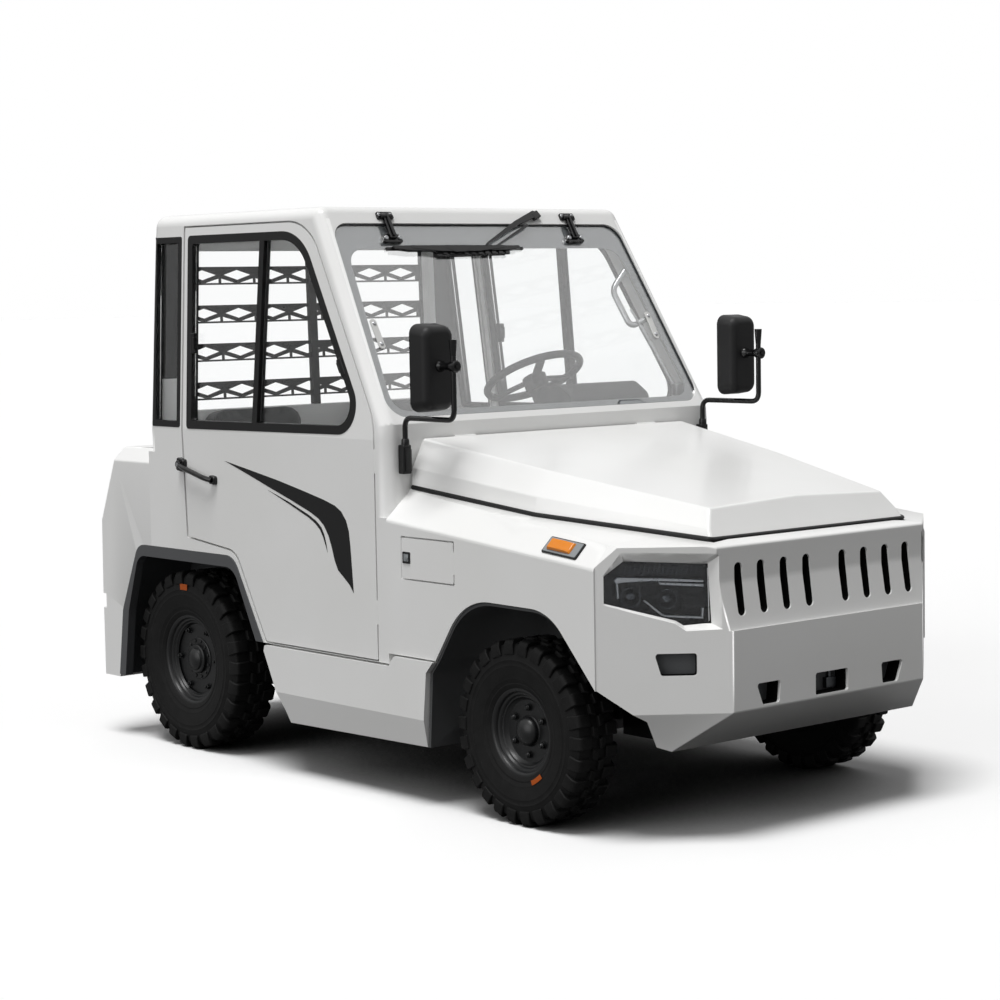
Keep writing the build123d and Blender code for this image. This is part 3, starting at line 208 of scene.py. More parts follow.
look = {
    "paint": enamelPaint(),
    "trim": mouldedPlastic("polypropyleneGrained", "131314", 0.48),
    # painted shade: the rear arch lips are dark grey in the tone of the arch's shaded inner edge
    "arch": mouldedPlastic("archLipPaintedShade", "4a4b4d", 0.42, 2.6, 0.2, 0.5),
    "liner": mouldedPlastic("polypropyleneMatt", "4c4d4e", 0.6, 3.0, 0.3),
    "seal": mouldedPlastic("extrudedRubberSeal", "0b0b0c", 0.42, 3.5, 0.1),
    "dash": mouldedPlastic("absGrained", "1d1e20", 0.55, 2.0, 0.3),
    "gloss": mouldedPlastic("absGlossBlack", "070708", 0.2, 6.0, 0.02, 0.45),
    "tyre": tyreRubber(),
    "rim": powderCoat("blackStoveEnamel", "0c0d0e", 0.36),
    "frame": powderCoat("chassisPowderCoat", "141516", 0.5),
    "engine": powderCoat("castIronPainted", "2a2d30", 0.55),
    "guard": powderCoat("guardPowderCoat", "0d0d0e", 0.42),
    "steel": platedSteel("zincPlatedSteel", "a9aaac", 0.3),
    "darkSteel": platedSteel("phosphatedSteel", "55575a", 0.38),
    "core": powderCoat("aluminiumFinsBlack", "0c0d0e", 0.6, 0.3),
    "glass": floatGlass("floatGlassTempered", "fdfefe"),
    "screen": floatGlass("laminatedScreenGlass", "fafbfb", 2.1),
    "lens": floatGlass("polycarbonateSmoked", "b6b8ba", 1.42, 0.0, 0.002),
    "amber": ribbedLens("acrylicAmberMoulded", "ee8a00", 0.08),
    "red": ribbedLens("acrylicRedMoulded", "b80a05", 0.08),
    "tag": mouldedPlastic("rubberPaintOrange", "b4541a", 0.55, 2.0, 0.15),
    "pale": mouldedPlastic("nylonWhiteMoulded", "dcdcda", 0.4, 3.0, 0.1),
    "grey": mouldedPlastic("ceramicFritGrey", "8d9193", 0.3, 2.0, 0.02),
    "vinyl": seatVinyl(),
    "mirror": brightReflector(),
    "smokedChrome": platedSteel("smokedChromePlate", "6d7074", 0.2),
    "lampBlack": mouldedPlastic("polycarbonateBlack", "090a0b", 0.22, 6.0, 0.02, 0.5),
    "sealGrey": mouldedPlastic("rubberSealWeathered", "3a3b3d", 0.5, 3.5, 0.1),
    "guide": platedSteel("guideAluminised", "f0f1f3", 0.28),
    # painted shade: a near-black matt that darkens the insides of the grille slots and openings
    "pitch": mouldedPlastic("paintedShadeBlack", "030303", 0.85, 3.0, 0.1, 0.1),
    "panelGrey": powderCoat("greyPowderCoat", "5a5c5e", 0.5),
    "vinylFilm": mouldedPlastic("castVinylFilm", "0d0d0e", 0.34, 3.0, 0.02),
    "frit": mouldedPlastic("ceramicFritBand", "9b9ea1", 0.35, 2.0, 0.02),
}
print("materials made,", len(look))


# making pieces: shapes are drawn in millimetres, and finishPiece turns them to metres
def islandsOf(bm):
    seen, found = set(), []
    for first in bm.verts:
        if first in seen:
            continue
        island, todo = [], [first]
        seen.add(first)
        while todo:
            vert = todo.pop()
            island.append(vert)
            for edge in vert.link_edges:
                other = edge.other_vert(vert)
                if other not in seen:
                    seen.add(other)
                    todo.append(other)
        found.append(island)
    return found


def extentOf(verts):
    return (Vector([min(v.co[i] for v in verts) for i in range(3)]),
            Vector([max(v.co[i] for v in verts) for i in range(3)]))


def fromCad(names, keep=None):
    bm = bmesh.new()  # a merged copy of CAD meshes, whole or only the solids that keep chooses
    for name in names:
        bm.from_mesh(nodes[name].data)
    bmesh.ops.scale(bm, vec=(1000, 1000, 1000), verts=bm.verts)
    bmesh.ops.remove_doubles(bm, verts=bm.verts, dist=0.03)
    bmesh.ops.dissolve_degenerate(bm, edges=bm.edges, dist=0.03)
    if keep:
        drop = []
        for island in islandsOf(bm):
            if not keep(*extentOf(island)):
                drop += island
        bmesh.ops.delete(bm, geom=drop, context="VERTS")
    bmesh.ops.dissolve_limit(bm, angle_limit=radians(0.6), verts=bm.verts, edges=bm.edges)
    return bm


def finishPiece(bm, name, body, material, replaced=(), smooth=35):
    bmesh.ops.remove_doubles(bm, verts=bm.verts, dist=0.01)
    bmesh.ops.recalc_face_normals(bm, faces=bm.faces)
    bmesh.ops.scale(bm, vec=(0.001, 0.001, 0.001), verts=bm.verts)
    mesh = bpy.data.meshes.new(name)
    bm.to_mesh(mesh)
    bm.free()
    mesh.materials.append(look[material])
    mesh.shade_smooth()
    mesh.set_sharp_from_angle(angle=radians(smooth))
    piece = bpy.data.objects.new(name, mesh)
    scene.collection.objects.link(piece)
    even = piece.modifiers.new("evenNormals", "WEIGHTED_NORMAL")
    even.keep_sharp = True
    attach(piece, body)
    if replaced:
        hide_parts(*replaced)
    return piece


def frameAt(origin, across, up):
    # a matrix whose X runs across, Y up, and Z out of the pair
    x = Vector(across).normalized()
    z = x.cross(Vector(up)).normalized()
    return Matrix.Translation(Vector(origin)) @ Matrix((x, z.cross(x), z)).transposed().to_4x4()


def join(bm, part, matrix=None):
    if matrix is not None:
        part.transform(matrix)
    mesh = bpy.data.meshes.new("part")
    part.to_mesh(mesh)
    part.free()
    bm.from_mesh(mesh)
    bpy.data.meshes.remove(mesh)


def roundOff(part, width, segments=2, least=25, choose=None):
    edges = [e for e in part.edges if len(e.link_faces) == 2 and e.calc_face_angle(0) > radians(least)
             and (choose is None or choose(e))]
    bmesh.ops.bevel(part, geom=edges, offset=width, segments=segments, profile=0.5, affect="EDGES",
                    material=-1, clamp_overlap=True)


def thicken(part, run):
    # draws all faces out along a run, and leaves the first ones as the other side
    made = bmesh.ops.extrude_face_region(part, geom=part.faces[:])["geom"]
    bmesh.ops.translate(part, vec=run, verts=[g for g in made if isinstance(g, bmesh.types.BMVert)])


def oblong(left, low, right, high):
    return [(left, low), (right, low), (right, high), (left, high)]


def addBlock(bm, centre, size, edge=0.0, segments=2, turn=None):
    part = bmesh.new()
    bmesh.ops.create_cube(part, size=1.0)
    bmesh.ops.scale(part, vec=size, verts=part.verts)
    if edge:
        roundOff(part, edge, segments)
    join(bm, part, Matrix.Translation(Vector(centre)) @ (turn or Matrix.Identity(4)))


def addPlate(bm, outline, matrix, low, high, edge=0.0, corner=0.0, segments=2):
    # an outline in the matrix's XY plane, from low to high along its Z, with rounded corners and top edge
    part = bmesh.new()
    part.faces.new([part.verts.new((x, y, low)) for x, y in outline])
    if corner:
        bmesh.ops.bevel(part, geom=part.verts[:], offset=corner, segments=5, profile=0.5, affect="VERTICES",
                        material=-1, clamp_overlap=True)
    thicken(part, (0, 0, high - low))
    if edge:
        roundOff(part, edge, segments, 60, lambda e: all(abs(v.co.z - high) < 0.001 for v in e.verts))
    join(bm, part, matrix)


def addRing(bm, outline, inner, matrix, low, high):
    # a flat ring between two outlines with the same number of corners
    part = bmesh.new()
    loops = []
    for line in (outline, inner):
        verts = [part.verts.new((x, y, low)) for x, y in line]
        loops += [part.edges.new((a, b)) for a, b in zip(verts, verts[1:] + verts[:1])]
    bmesh.ops.bridge_loops(part, edges=loops)
    thicken(part, (0, 0, high - low))
    join(bm, part, matrix)


def addTurned(bm, profile, matrix, steps=48):
    # a profile of (radius, height) spun about the matrix's Z
    part = bmesh.new()
    verts = [part.verts.new((r, 0, h)) for r, h in profile]
    edges = [part.edges.new(pair) for pair in zip(verts, verts[1:])]
    bmesh.ops.spin(part, geom=verts + edges, cent=(0, 0, 0), axis=(0, 0, 1), angle=2 * pi, steps=steps,
                   use_merge=True)
    bmesh.ops.remove_doubles(part, verts=part.verts, dist=0.001)
    join(bm, part, matrix)


def addRod(bm, start, end, radius, sides=14, tip=0.0):
    start, run = Vector(start), Vector(end) - Vector(start)
    part = bmesh.new()
    bmesh.ops.create_cone(part, cap_ends=True, segments=sides, radius1=radius, radius2=radius, depth=run.length)
    if tip:
        roundOff(part, tip, 2, 60)
    turn = run.to_track_quat("Z", "Y").to_matrix().to_4x4()
    join(bm, part, Matrix.Translation(start + run / 2) @ turn)


def addBent(bm, points, radius, bend=20.0, sides=4):
    # a round bar through points with bent corners, capped at both ends
    curve = bpy.data.curves.new("bar", "CURVE")
    curve.dimensions = "3D"
    curve.bevel_depth = radius
    curve.bevel_resolution = sides
    curve.use_fill_caps = True
    line = curve.splines.new("POLY")
    path = [Vector(points[0])]
    for before, here, after in zip(points, points[1:], points[2:]):
        here, back, on = Vector(here), Vector(before) - Vector(here), Vector(after) - Vector(here)
        reach = min(bend, back.length * 0.45, on.length * 0.45)
        first, last = here + back.normalized() * reach, here + on.normalized() * reach
        for i in range(7):
            t = i / 6
            path.append(first * (1 - t) ** 2 + here * 2 * t * (1 - t) + last * t * t)
    path.append(Vector(points[-1]))
    line.points.add(len(path) - 1)
    for point, where in zip(line.points, path):
        point.co = (*where, 1.0)
    holder = bpy.data.objects.new("bar", curve)
    scene.collection.objects.link(holder)
    mesh = bpy.data.meshes.new_from_object(holder)
    bpy.data.objects.remove(holder)
    bpy.data.curves.remove(curve)
    bm.from_mesh(mesh)
    bpy.data.meshes.remove(mesh)


def rounded(corners, radius, steps=8):
    # corners of an outline turned to arcs, as one list of points
    out = []
    count = len(corners)
    for i, here in enumerate(corners):
        here, before, after = Vector(here), Vector(corners[i - 1]), Vector(corners[(i + 1) % count])
        back, on = (before - here).normalized(), (after - here).normalized()
        first, last = here + back * radius, here + on * radius
        for k in range(steps + 1):
            t = k / steps
            out.append(tuple(first * (1 - t) ** 2 + here * 2 * t * (1 - t) + last * t * t))
    return out


# painted panels: the CAD's pressings with their rounded creases shaded smooth
panels = {
    "cabShell": (["cab_frame", "cab_roof"], "chassis", "paint"),
    "hoodShell": (["hood"], "hood", "paint"),
    "fenderShells": (["front_fenders"], "chassis", "paint"),
    "fuelFlapPlate": (["fuel_flap"], "fuel_flap", "paint"),
    "bumperShell": (["front_bumper"], "chassis", "paint"),
    "skirtShells": (["side_skirts"], "chassis", "paint"),
    "rearBodyShell": (["rear_body"], "chassis", "paint"),
    "doorShellRight": (["door_panel_right"], "door_right", "paint"),
    "doorShellLeft": (["door_panel_left"], "door_left", "paint"),
    "quarterFrames": (["quarter_trims"], "chassis", "seal"),
    "archLinersFront": (["front_arch_liners"], "chassis", "liner"),
    # the rear arch lips carry painted shade in their dark grey
    "archLinersRear": (["rear_arch_liners"], "chassis", "arch"),
    "guardScreen": (["rear_guard"], "chassis", "guard"),
}
for name, (names, body, finish) in panels.items():
    finishPiece(fromCad(names), name, body, finish, names, 32)
for hand in ("right", "left"):
    # the window frame alone: the handle's solid is much smaller
    frameOnly = fromCad(["door_trim_" + hand], lambda low, high: (high - low).x > 400)
    finishPiece(frameOnly, "doorFrame" + hand.title(), "door_" + hand, "seal", ["door_trim_" + hand], 32)
print("panels made,", len(panels) + 2)


# wheels: each is drawn about its axle, outboard along Z
wheelSizes = {
    "front": {"x": 900, "y": 640, "radius": 295, "half": 85, "rim": 134, "bead": 57.8, "bolts": 75, "hub": 46,
              "tag": 238},
    "rear": {"x": -960, "y": 630, "radius": 330, "half": 95, "rim": 160, "bead": 64.6, "bolts": 115, "hub": 54,
             "tag": 90},
    "lugs": 26, "lugHeight": 13, "lugShare": 0.58,
}


def wheelFrame(size, side):
    return (Matrix.Translation((size["x"], side * size["y"], size["radius"]))
            @ frameAt((0, 0, 0), (side, 0, 0), (0, 0, 1)) @ Matrix.Scale(-1, 4, (0, 0, 1)))


def addTyre(name, size, side, body, node):
    bm = bmesh.new()
    base = size["radius"] - wheelSizes["lugHeight"]
    foot = size["rim"] + 1.0
    half = size["half"]
    # share of the way from bead to tread, share of the half width: ribs ring the sidewall
    wall = [(0.0, 0.68), (0.015, 0.75), (0.05, 0.80), (0.10, 0.83), (0.115, 0.85), (0.13, 0.855), (0.15, 0.845),
            (0.22, 0.885), (0.235, 0.90), (0.25, 0.905), (0.27, 0.90), (0.40, 0.955), (0.50, 0.968), (0.515, 0.982),
            (0.53, 0.984), (0.545, 0.970), (0.61, 0.972), (0.625, 0.988), (0.645, 0.99), (0.66, 0.972),
            (0.70, 0.968), (0.715, 0.955), (0.80, 0.93), (0.90, 0.885), (0.97, 0.82), (1.0, 0.72), (1.012, 0.4),
            (1.015, 0.0)]
    outer = [(foot + t * (base - foot), a * half) for t, a in wall]
    inner = [(base - 22, 0.0), (base - 24, half * 0.6), (base - 50, half * 0.78), (foot + 40, half * 0.72),
             (foot, half * 0.6)]
    profile = ([(r, -h) for r, h in outer] + outer[::-1][1:] + inner[::-1]
               + [(r, -h) for r, h in inner[1:]] + [(outer[0][0], -outer[0][1])])
    addTurned(bm, profile, Matrix.Identity(4), 104)
    pitch = 360 / wheelSizes["lugs"]
    wide = 2 * pi / wheelSizes["lugs"] * size["radius"] * wheelSizes["lugShare"]
    top = size["radius"] - 0.4
    # shoulder lug in section: height from the axle, distance from the middle
    shoulder = [(base - 8, 0.33), (top - 1.5, 0.36), (top, 0.78), (top - 4, 0.90), (top - 17, 0.985),
                (top - 44, 1.0), (top - 50, 0.965), (base - 36, 0.90)]
    middle = [(base - 8, 0.02), (top, 0.045), (top - 0.6, 0.28), (base - 8, 0.31)]
    for hand, shift in ((-1, 0.0), (1, 0.5)):
        for outline, share, skew in ((shoulder, 1.0, 0.0), (middle, 0.86, 0.32)):
            lug = bmesh.new()
            lug.faces.new([lug.verts.new((0, r, hand * a * half)) for r, a in outline])
            thicken(lug, (wide * share, 0, 0))
            bmesh.ops.translate(lug, vec=(-wide * share / 2, 0, 0), verts=lug.verts)
            for vert in lug.verts:
                rise = (vert.co.y - (base - 50)) / (top - base + 50)
                vert.co.x *= 1.12 - 0.2 * rise
                vert.co.x += skew * (abs(vert.co.z) - 0.3 * half)
            bmesh.ops.recalc_face_normals(lug, faces=lug.faces)
            roundOff(lug, 2.6, 1, 30)
            sample = bpy.data.meshes.new("lug")
            lug.to_mesh(sample)
            lug.free()
            offset = shift + (0.5 if outline is middle else 0.0)
            for i in range(wheelSizes["lugs"]):
                one = bmesh.new()
                one.from_mesh(sample)
                join(bm, one, Matrix.Rotation(radians((i + offset) * pitch), 4, "Z"))
            bpy.data.meshes.remove(sample)
    bm.transform(wheelFrame(size, side))
    finishPiece(bm, name, body, "tyre", [node], 34)


def addRim(name, size, side, body, node, rear):
    bm = bmesh.new()
    r, w = size["rim"], size["bead"]
    face = w - 30
    flange = [(r + 0.2, w + 0.4), (r + 11, w + 0.8), (r + 13.6, w + 3.5), (r + 12.5, w + 7.2), (r + 6, w + 8),
              (r + 1, w + 7.4), (r - 4, w + 5), (r - 7, w + 1), (r - 9.5, w - 6), (r - 16, w - 8), (r - 18.5, w - 11),
              (r - 20.5, w - 15), (r - 25, w - 16.5), (r - 27, w - 20), (r - 30, w - 24)]
    bolts, middle = size["bolts"], size["hub"]
    disc = [(bolts + 24, face + 1), (bolts + 17, face), (middle + 4, face), (middle + 1, face + 3)]
    hub = [(middle, face + 14), (middle - 3, face + 17), (middle - 8, face + 18)] if rear else []
    dome = middle - (12 if rear else 0)
    crown = face + (18 if rear else 10)
    rise = 17.5 if rear else 26
    hub += [(dome, crown)] + [(dome * cos(a), crown + rise * sin(a)) for a in (0.35, 0.75, 1.15, 1.57)][:-1]
    hub += [(0.0, crown + rise)]
    back = [(0.0, w - 47), (bolts + 18, w - 45), (r - 27, w - 36), (r - 4, -w - 8), (r + 13, -w - 8),
            (r + 13.6, -w - 0.6), (r + 0.2, -w - 0.4)]
    addTurned(bm, flange + disc + hub + back + [flange[0]], Matrix.Identity(4), 72)
    for i in range(6):
        turn = Matrix.Rotation(radians(i * 60 + (0 if rear else 30)), 4, "Z")
        where = turn @ Matrix.Translation((bolts, 0, face - 0.5))
        addTurned(bm, [(0, 0), (13.5, 0), (13.5, 2.4), (0, 2.4)], where, 24)
        nut = [(0, 1), (10.6, 1), (10.6, 8.5), (9.6, 10.5), (8.2, 11.2), (8.0, 13.0), (5.6, 16.2), (0.0, 17.6)]
        if rear:
            nut = [(0, 1), (10.4, 1), (10.4, 11), (9.2, 12), (5.4, 12), (5.4, 17.5), (4.4, 18.5), (0.0, 18.5)]
        addTurned(bm, nut, where, 6 if rear else 18)
    if rear:
        for i in range(12):
            turn = Matrix.Rotation(radians(i * 30 + 15), 4, "Z")
            addTurned(bm, [(0, 0), (8, 0), (8, 1.6), (6.4, 1.6), (6.4, 7.4), (5.6, 8.2), (0.0, 8.2)],
                      turn @ Matrix.Translation((middle + 13, 0, face - 0.5)), 6)
        addTurned(bm, [(middle + 24, face - 1), (middle + 24, face + 2.4), (middle + 21.5, face + 4),
                       (middle - 2, face + 4), (middle - 2, face - 1), (middle + 24, face - 1)],
                  Matrix.Identity(4), 48)
    bm.transform(wheelFrame(size, side))
    finishPiece(bm, name, body, "rim", [node], 30)


def addTag(name, size, side, body):
    # the painted mark on the sidewall, bent to the tyre
    bm = bmesh.new()
    reach = size["radius"] - 58 if size["tag"] == 90 else size["rim"] + 28
    long, tall = (46, 22) if size["tag"] == 90 else (52, 15)
    part = bmesh.new()
    bmesh.ops.create_grid(part, x_segments=8, y_segments=4, size=0.5)
    bmesh.ops.scale(part, vec=(long, tall, 1), verts=part.verts)
    for vert in part.verts:
        out = reach + vert.co.y
        angle = vert.co.x / reach
        share = (out - size["rim"] - 1) / (size["radius"] - wheelSizes["lugHeight"] - size["rim"] - 1)
        swell = 0.905 + (share - 0.27) / 0.13 * 0.05 if share < 0.4 else 0.955 + (share - 0.4) / 0.1 * 0.013
        if share > 0.5:
            swell = 0.992
        if share < 0.27:
            swell = 0.909
        vert.co = (out * sin(angle), out * cos(angle), swell * size["half"] + 0.4)
    thicken(part, (0, 0, 1.0))
    join(bm, part, wheelFrame(size, side) @ Matrix.Rotation(radians(size["tag"] - 90), 4, "Z"))
    finishPiece(bm, name, body, "tag")


for hand, side in (("Right", -1), ("Left", 1)):
    for end in ("front", "rear"):
        size = wheelSizes[end]
        body = "%s_wheel_%s" % (end, hand.lower())
        addTyre(end + "Tyre" + hand, size, side, body, "%s_tyre_%s" % (end, hand.lower()))
        addRim(end + "Rim" + hand, size, side, body, "%s_rim_%s" % (end, hand.lower()), end == "rear")
        addTag(end + "Tag" + hand, size, side, body)
print("wheels made")


# front end: everything is drawn on the right corner and mirrored to the left
front = {
    "cornerX": 1300.0, "side": 760.0, "run": (254.0, 310.0), "noseX": 1565.0,
    "lamp": [(33, 820), (93, 864), (344, 849), (353, 673), (272, 667), (248, 682), (32, 740)],
    "fog": [(182, 586), (309, 586), (309, 518), (202, 518)],
    "turnLamp": (1065, 1215), "seamRadius": 8.0,
}


def cornerFrame(along, depth, lean=0.0):
    # X along the chamfered corner towards the nose, Y up, Z straight out of it
    run = Vector((front["run"][0], front["run"][1], 0)).normalized()
    out = Vector((front["run"][1], -front["run"][0], 0)).normalized()
    start = Vector((front["cornerX"], -front["side"], 0)) + run * along - out * depth
    return frameAt(start, run - out * lean, (0, 0, 1))


def mirrorSide(bm):
    bmesh.ops.mirror(bm, geom=bm.verts[:] + bm.edges[:] + bm.faces[:], axis="Y", merge_dist=0.001)
    return bm


def shrunk(outline, by):
    # an outline with each side moved in by the same amount
    out = []
    count = len(outline)
    area = sum(a[0] * b[1] - b[0] * a[1] for a, b in zip(outline, outline[1:] + outline[:1]))
    hand = 1 if area > 0 else -1
    for i, here in enumerate(outline):
        before, after = Vector(outline[i - 1]), Vector(outline[(i + 1) % count])
        here = Vector(here)
        one, two = (here - before).normalized(), (after - here).normalized()
        n1, n2 = Vector((-one.y, one.x)) * hand, Vector((-two.y, two.x)) * hand
        mid = (n1 + n2).normalized()
        out.append(tuple(here + mid * by / max(mid.dot(n1), 0.3)))
    return out


lampLean = 27 / 320
lampFrame = cornerFrame(33, 3, lampLean)
lampLine = [((a - 33) * 1.0036, z) for a, z in front["lamp"]]


def addHeadlamps():
    shell = bmesh.new()
    addRing(shell, shrunk(lampLine, 0.6), shrunk(lampLine, 4.0), lampFrame, -58, -1.5)
    addPlate(shell, shrunk(lampLine, 1), lampFrame, -60, -54)
    for y, z, r in ((86, 752, 33), (196, 744, 33)):  # projector bowls
        addTurned(shell, [(r, -54), (r, -34), (r - 2, -30), (r - 5, -30), (r - 9, -44), (r - 12, -46)],
                  lampFrame @ Matrix.Translation((y, z, 0)), 32)
    addPlate(shell, [(44, 716), (252, 700), (252, 706), (44, 722)], lampFrame, -52, -22)
    addPlate(shell, [(240, 700), (246, 700), (250, 790), (244, 790)], lampFrame, -52, -20)
    finishPiece(mirrorSide(shell), "headlampHousings", "chassis", "lampBlack", ["headlamps"], 30)

    ribs = bmesh.new()
    for i in range(17):  # fluted upper reflector
        x = 62 + i * 14.5
        addPlate(ribs, [(x, 816), (x + 5, 816), (x + 15, 850), (x + 10, 850)], lampFrame, -50, -30, 1.2)
    for y, z in ((86, 752), (196, 744)):
        addTurned(ribs, [(30.5, -33), (30.5, -28.5), (27, -28.5), (27, -33), (30.5, -33)],
                  lampFrame @ Matrix.Translation((y, z, 0)), 32)
        addTurned(ribs, [(20, -46), (19, -38), (14, -31), (8, -27.5), (0, -26)],
                  lampFrame @ Matrix.Translation((y, z, 0)), 24)
    finishPiece(mirrorSide(ribs), "headlampReflectors", "chassis", "smokedChrome", (), 30)

    guide = bmesh.new()
    bars = [[(34, 806), (44, 815), (160, 809), (160, 802), (60, 800), (40, 796)],
            [(160, 810), (304, 800), (304, 794), (160, 801)],
            [(168, 797), (304, 788), (304, 780), (172, 790)],
            [(122, 742), (127, 744), (176, 704), (190, 696), (186, 691), (172, 699)],
            [(184, 698), (302, 690), (302, 684), (182, 692)],
            [(296, 690), (302, 690), (304, 716), (298, 716)],
            [(40, 796), (45, 797), (48, 752), (43, 751)]]
    for bar in bars:
        addPlate(guide, bar, lampFrame, -26, -12, 1.5)
    finishPiece(mirrorSide(guide), "headlampGuides", "chassis", "guide", (), 30)

    lens = bmesh.new()
    addPlate(lens, shrunk(lampLine, 1.0), lampFrame, -4.0, -0.8, 0.8, 3.0)
    finishPiece(mirrorSide(lens), "headlampLenses", "chassis", "lens", (), 30)

    edge = bmesh.new()
    addPlate(edge, [(313, 838), (316, 838), (319, 680), (316, 676)], lampFrame, -3, 0.4, 0.8)
    finishPiece(mirrorSide(edge), "headlampEdges", "chassis", "guide", (), 30)


def addBackings():
    # painted shade: a near-black board with fins behind the slots, so the slots read dark
    dark = bmesh.new()
    addBlock(dark, (1489, 0, 765), (6, 860, 230), 1)  # behind the slots
    for i in range(-13, 14):
        addBlock(dark, (1496, i * 32, 765), (10, 4, 220), 1)
    finishPiece(dark, "grilleShadeBacking", "chassis", "pitch")
    ends = bmesh.new()
    addBlock(ends, (1502, -384, 768), (4, 60, 200), 1)  # pale ducts behind the outer slots
    finishPiece(mirrorSide(ends), "grilleDucts", "chassis", "panelGrey")
    plates = bmesh.new()
    fog = [(170, 600), (322, 600), (322, 506), (190, 506)]
    addPlate(plates, fog, cornerFrame(0, 0), -40, -34, 2)
    addBlock(plates, (1508, -286, 446), (6, 132, 92), 2)
    mirrorSide(plates)
    addBlock(plates, (1508, 0, 446), (6, 176, 92), 2)
    finishPiece(plates, "bumperPlates", "chassis", "panelGrey")
    tow = bmesh.new()
    addBlock(tow, (1516, 40, 436), (22, 46, 34), 4)
    addRod(tow, (1516, 40, 418), (1516, 40, 474), 7, 14, 2)
    finishPiece(tow, "frontTowCatch", "chassis", "darkSteel")


def addShadeSleeve(bm, outline, matrix, foot):
    # painted shade: a black liner ring round an opening's wall
    soft = rounded(outline, 9, 3)
    addRing(bm, shrunk(soft, 0.2), shrunk(soft, 1.8), matrix, foot, -10)


def addSlotShadeSleeves():
    # painted shade: black sleeves that line the slots and the lower openings from just behind the skin's face,
    # darkening their walls
    shadeSleeves = bmesh.new()
    nose = frameAt((front["noseX"], 0, 0), (0, 1, 0), (0, 0, 1))
    for y in (83, 184, 285, 383):
        outer = capsule(y, 690, 850, 16.9)
        addRing(shadeSleeves, outer, capsule(y, 690, 850, 15.2), nose, -60, -36)
    for vert in shadeSleeves.verts:  # the skin's face comes forward towards the slots' feet
        if vert.co.x > front["noseX"] - 40 and vert.co.z < 790:
            vert.co.x += (790 - vert.co.z) * 0.19
    outer = [(232, 480), (338, 480), (310, 412), (238, 412)]
    addShadeSleeve(shadeSleeves, outer, nose, -60)
    addShadeSleeve(shadeSleeves, front["fog"], cornerFrame(0, 0), -36)
    finishPiece(mirrorSide(shadeSleeves), "grilleShadeSleeves", "chassis", "pitch")
    middle = bmesh.new()
    addShadeSleeve(middle, oblong(-75, 412, 75, 482), nose, -60)
    finishPiece(middle, "centreShadeSleeve", "chassis", "pitch")


def capsule(y, low, high, radius):
    half = 17.0
    out = []
    for k in range(25):
        angle = pi * k / 24
        out.append((y + radius * cos(angle), high - half + radius * sin(angle)))
    for k in range(25):
        angle = pi + pi * k / 24
        out.append((y + radius * cos(angle), low + half + radius * sin(angle)))
    return out


def addHoodSeam():
    seam = bmesh.new()
    r = front["seamRadius"]
    line = [(319, -654, 1026), (865, -600, 963), (1474, -446, 914)]
    path = [(x, y + 1.0, z + 5.6) for x, y, z in line]
    path += [(1479, -430, 917.5), (1479, 430, 917.5)]
    path += [(x, -y, z) for x, y, z in path[:3]][::-1]
    addBent(seam, path, r, 14, 3)
    finishPiece(seam, "hoodSeal", "hood", "seal", (), 60)


def bandFoot(x):
    # lower edge of the fender's sloping band
    return Vector((x, -front["side"], 843 + (882 - 843) * (1305 - x) / 440))


def bandTop(x):
    share = (x - 865) / 440
    return Vector((x, -(679 + 19 * share), 961 - 51 * share))


def addTurnLamps():
    # frame on the fender's sloping band, X towards the nose, Y up the band
    rear, ahead = front["turnLamp"]
    first, last = bandFoot(rear), bandFoot(ahead)
    onBand = frameAt((first + bandTop(ahead)) / 2, last - first, bandTop(rear) - first)
    base = bmesh.new()
    addPlate(base, oblong(-78, -31, 78, 31), onBand, 0.2, 4, 1.2, 6)
    finishPiece(mirrorSide(base), "turnLampGaskets", "chassis", "seal", ["signal_lamps"])
    grey = bmesh.new()
    addPlate(grey, oblong(-73, -27, 73, 27), onBand, 3, 7, 1.5, 4)
    finishPiece(mirrorSide(grey), "turnLampBases", "chassis", "grey")
    lens = bmesh.new()
    part = bmesh.new()
    bmesh.ops.create_cube(part, size=1.0)
    bmesh.ops.scale(part, vec=(104, 42, 11), verts=part.verts)
    for vert in part.verts:
        if vert.co.z > 0:
            vert.co.x *= 0.9
            vert.co.y *= 0.82
    bmesh.ops.bisect_plane(part, geom=part.verts[:] + part.edges[:] + part.faces[:], plane_co=(16, 0, 0),
                           plane_no=(1, 0, 0.5))
    for vert in part.verts:
        if vert.co.z > 0 and vert.co.x > 20:
            vert.co.z -= 3.5
    roundOff(part, 2.5, 3, 20)
    join(lens, part, onBand @ Matrix.Translation((-6, 0, 12.3)))
    finishPiece(mirrorSide(lens), "turnLampLenses", "chassis", "amber", (), 30)


def addTailLamps():
    x = -1475
    box = bmesh.new()
    addBlock(box, (x + 5, -625, 650), (16, 128, 98), 3)
    finishPiece(mirrorSide(box), "tailLampBezels", "chassis", "trim")
    for name, z, tall, finish in (("tailLampRed", 666, 54, "red"), ("tailLampAmber", 620, 30, "amber")):
        lens = bmesh.new()
        addBlock(lens, (x - 4, -625, z), (10, 112, tall), 3, 3)
        finishPiece(mirrorSide(lens), name, "chassis", finish)


def addFlapLatch():
    latch = bmesh.new()
    wall = frameAt((0, -762.2, 0), (1, 0, 0), (0, 0, 1))
    addPlate(latch, oblong(395, 795, 433, 833), wall, -1.5, 1.2, 1, 3)
    finishPiece(latch, "flapLatchFrame", "fuel_flap", "seal")
    key = bmesh.new()
    addPlate(key, oblong(402, 802, 426, 826), wall, 0.8, 1.9, 0.6, 2)
    addTurned(key, [(8, 1.5), (8, 3.2), (6.5, 4), (0, 4)], wall @ Matrix.Translation((418, 814, 0)), 20)
    finishPiece(key, "flapLatchKey", "fuel_flap", "grey")


addHeadlamps()
addBackings()
addSlotShadeSleeves()
addHoodSeam()
addTurnLamps()
addTailLamps()
addFlapLatch()
print("front end dressed")


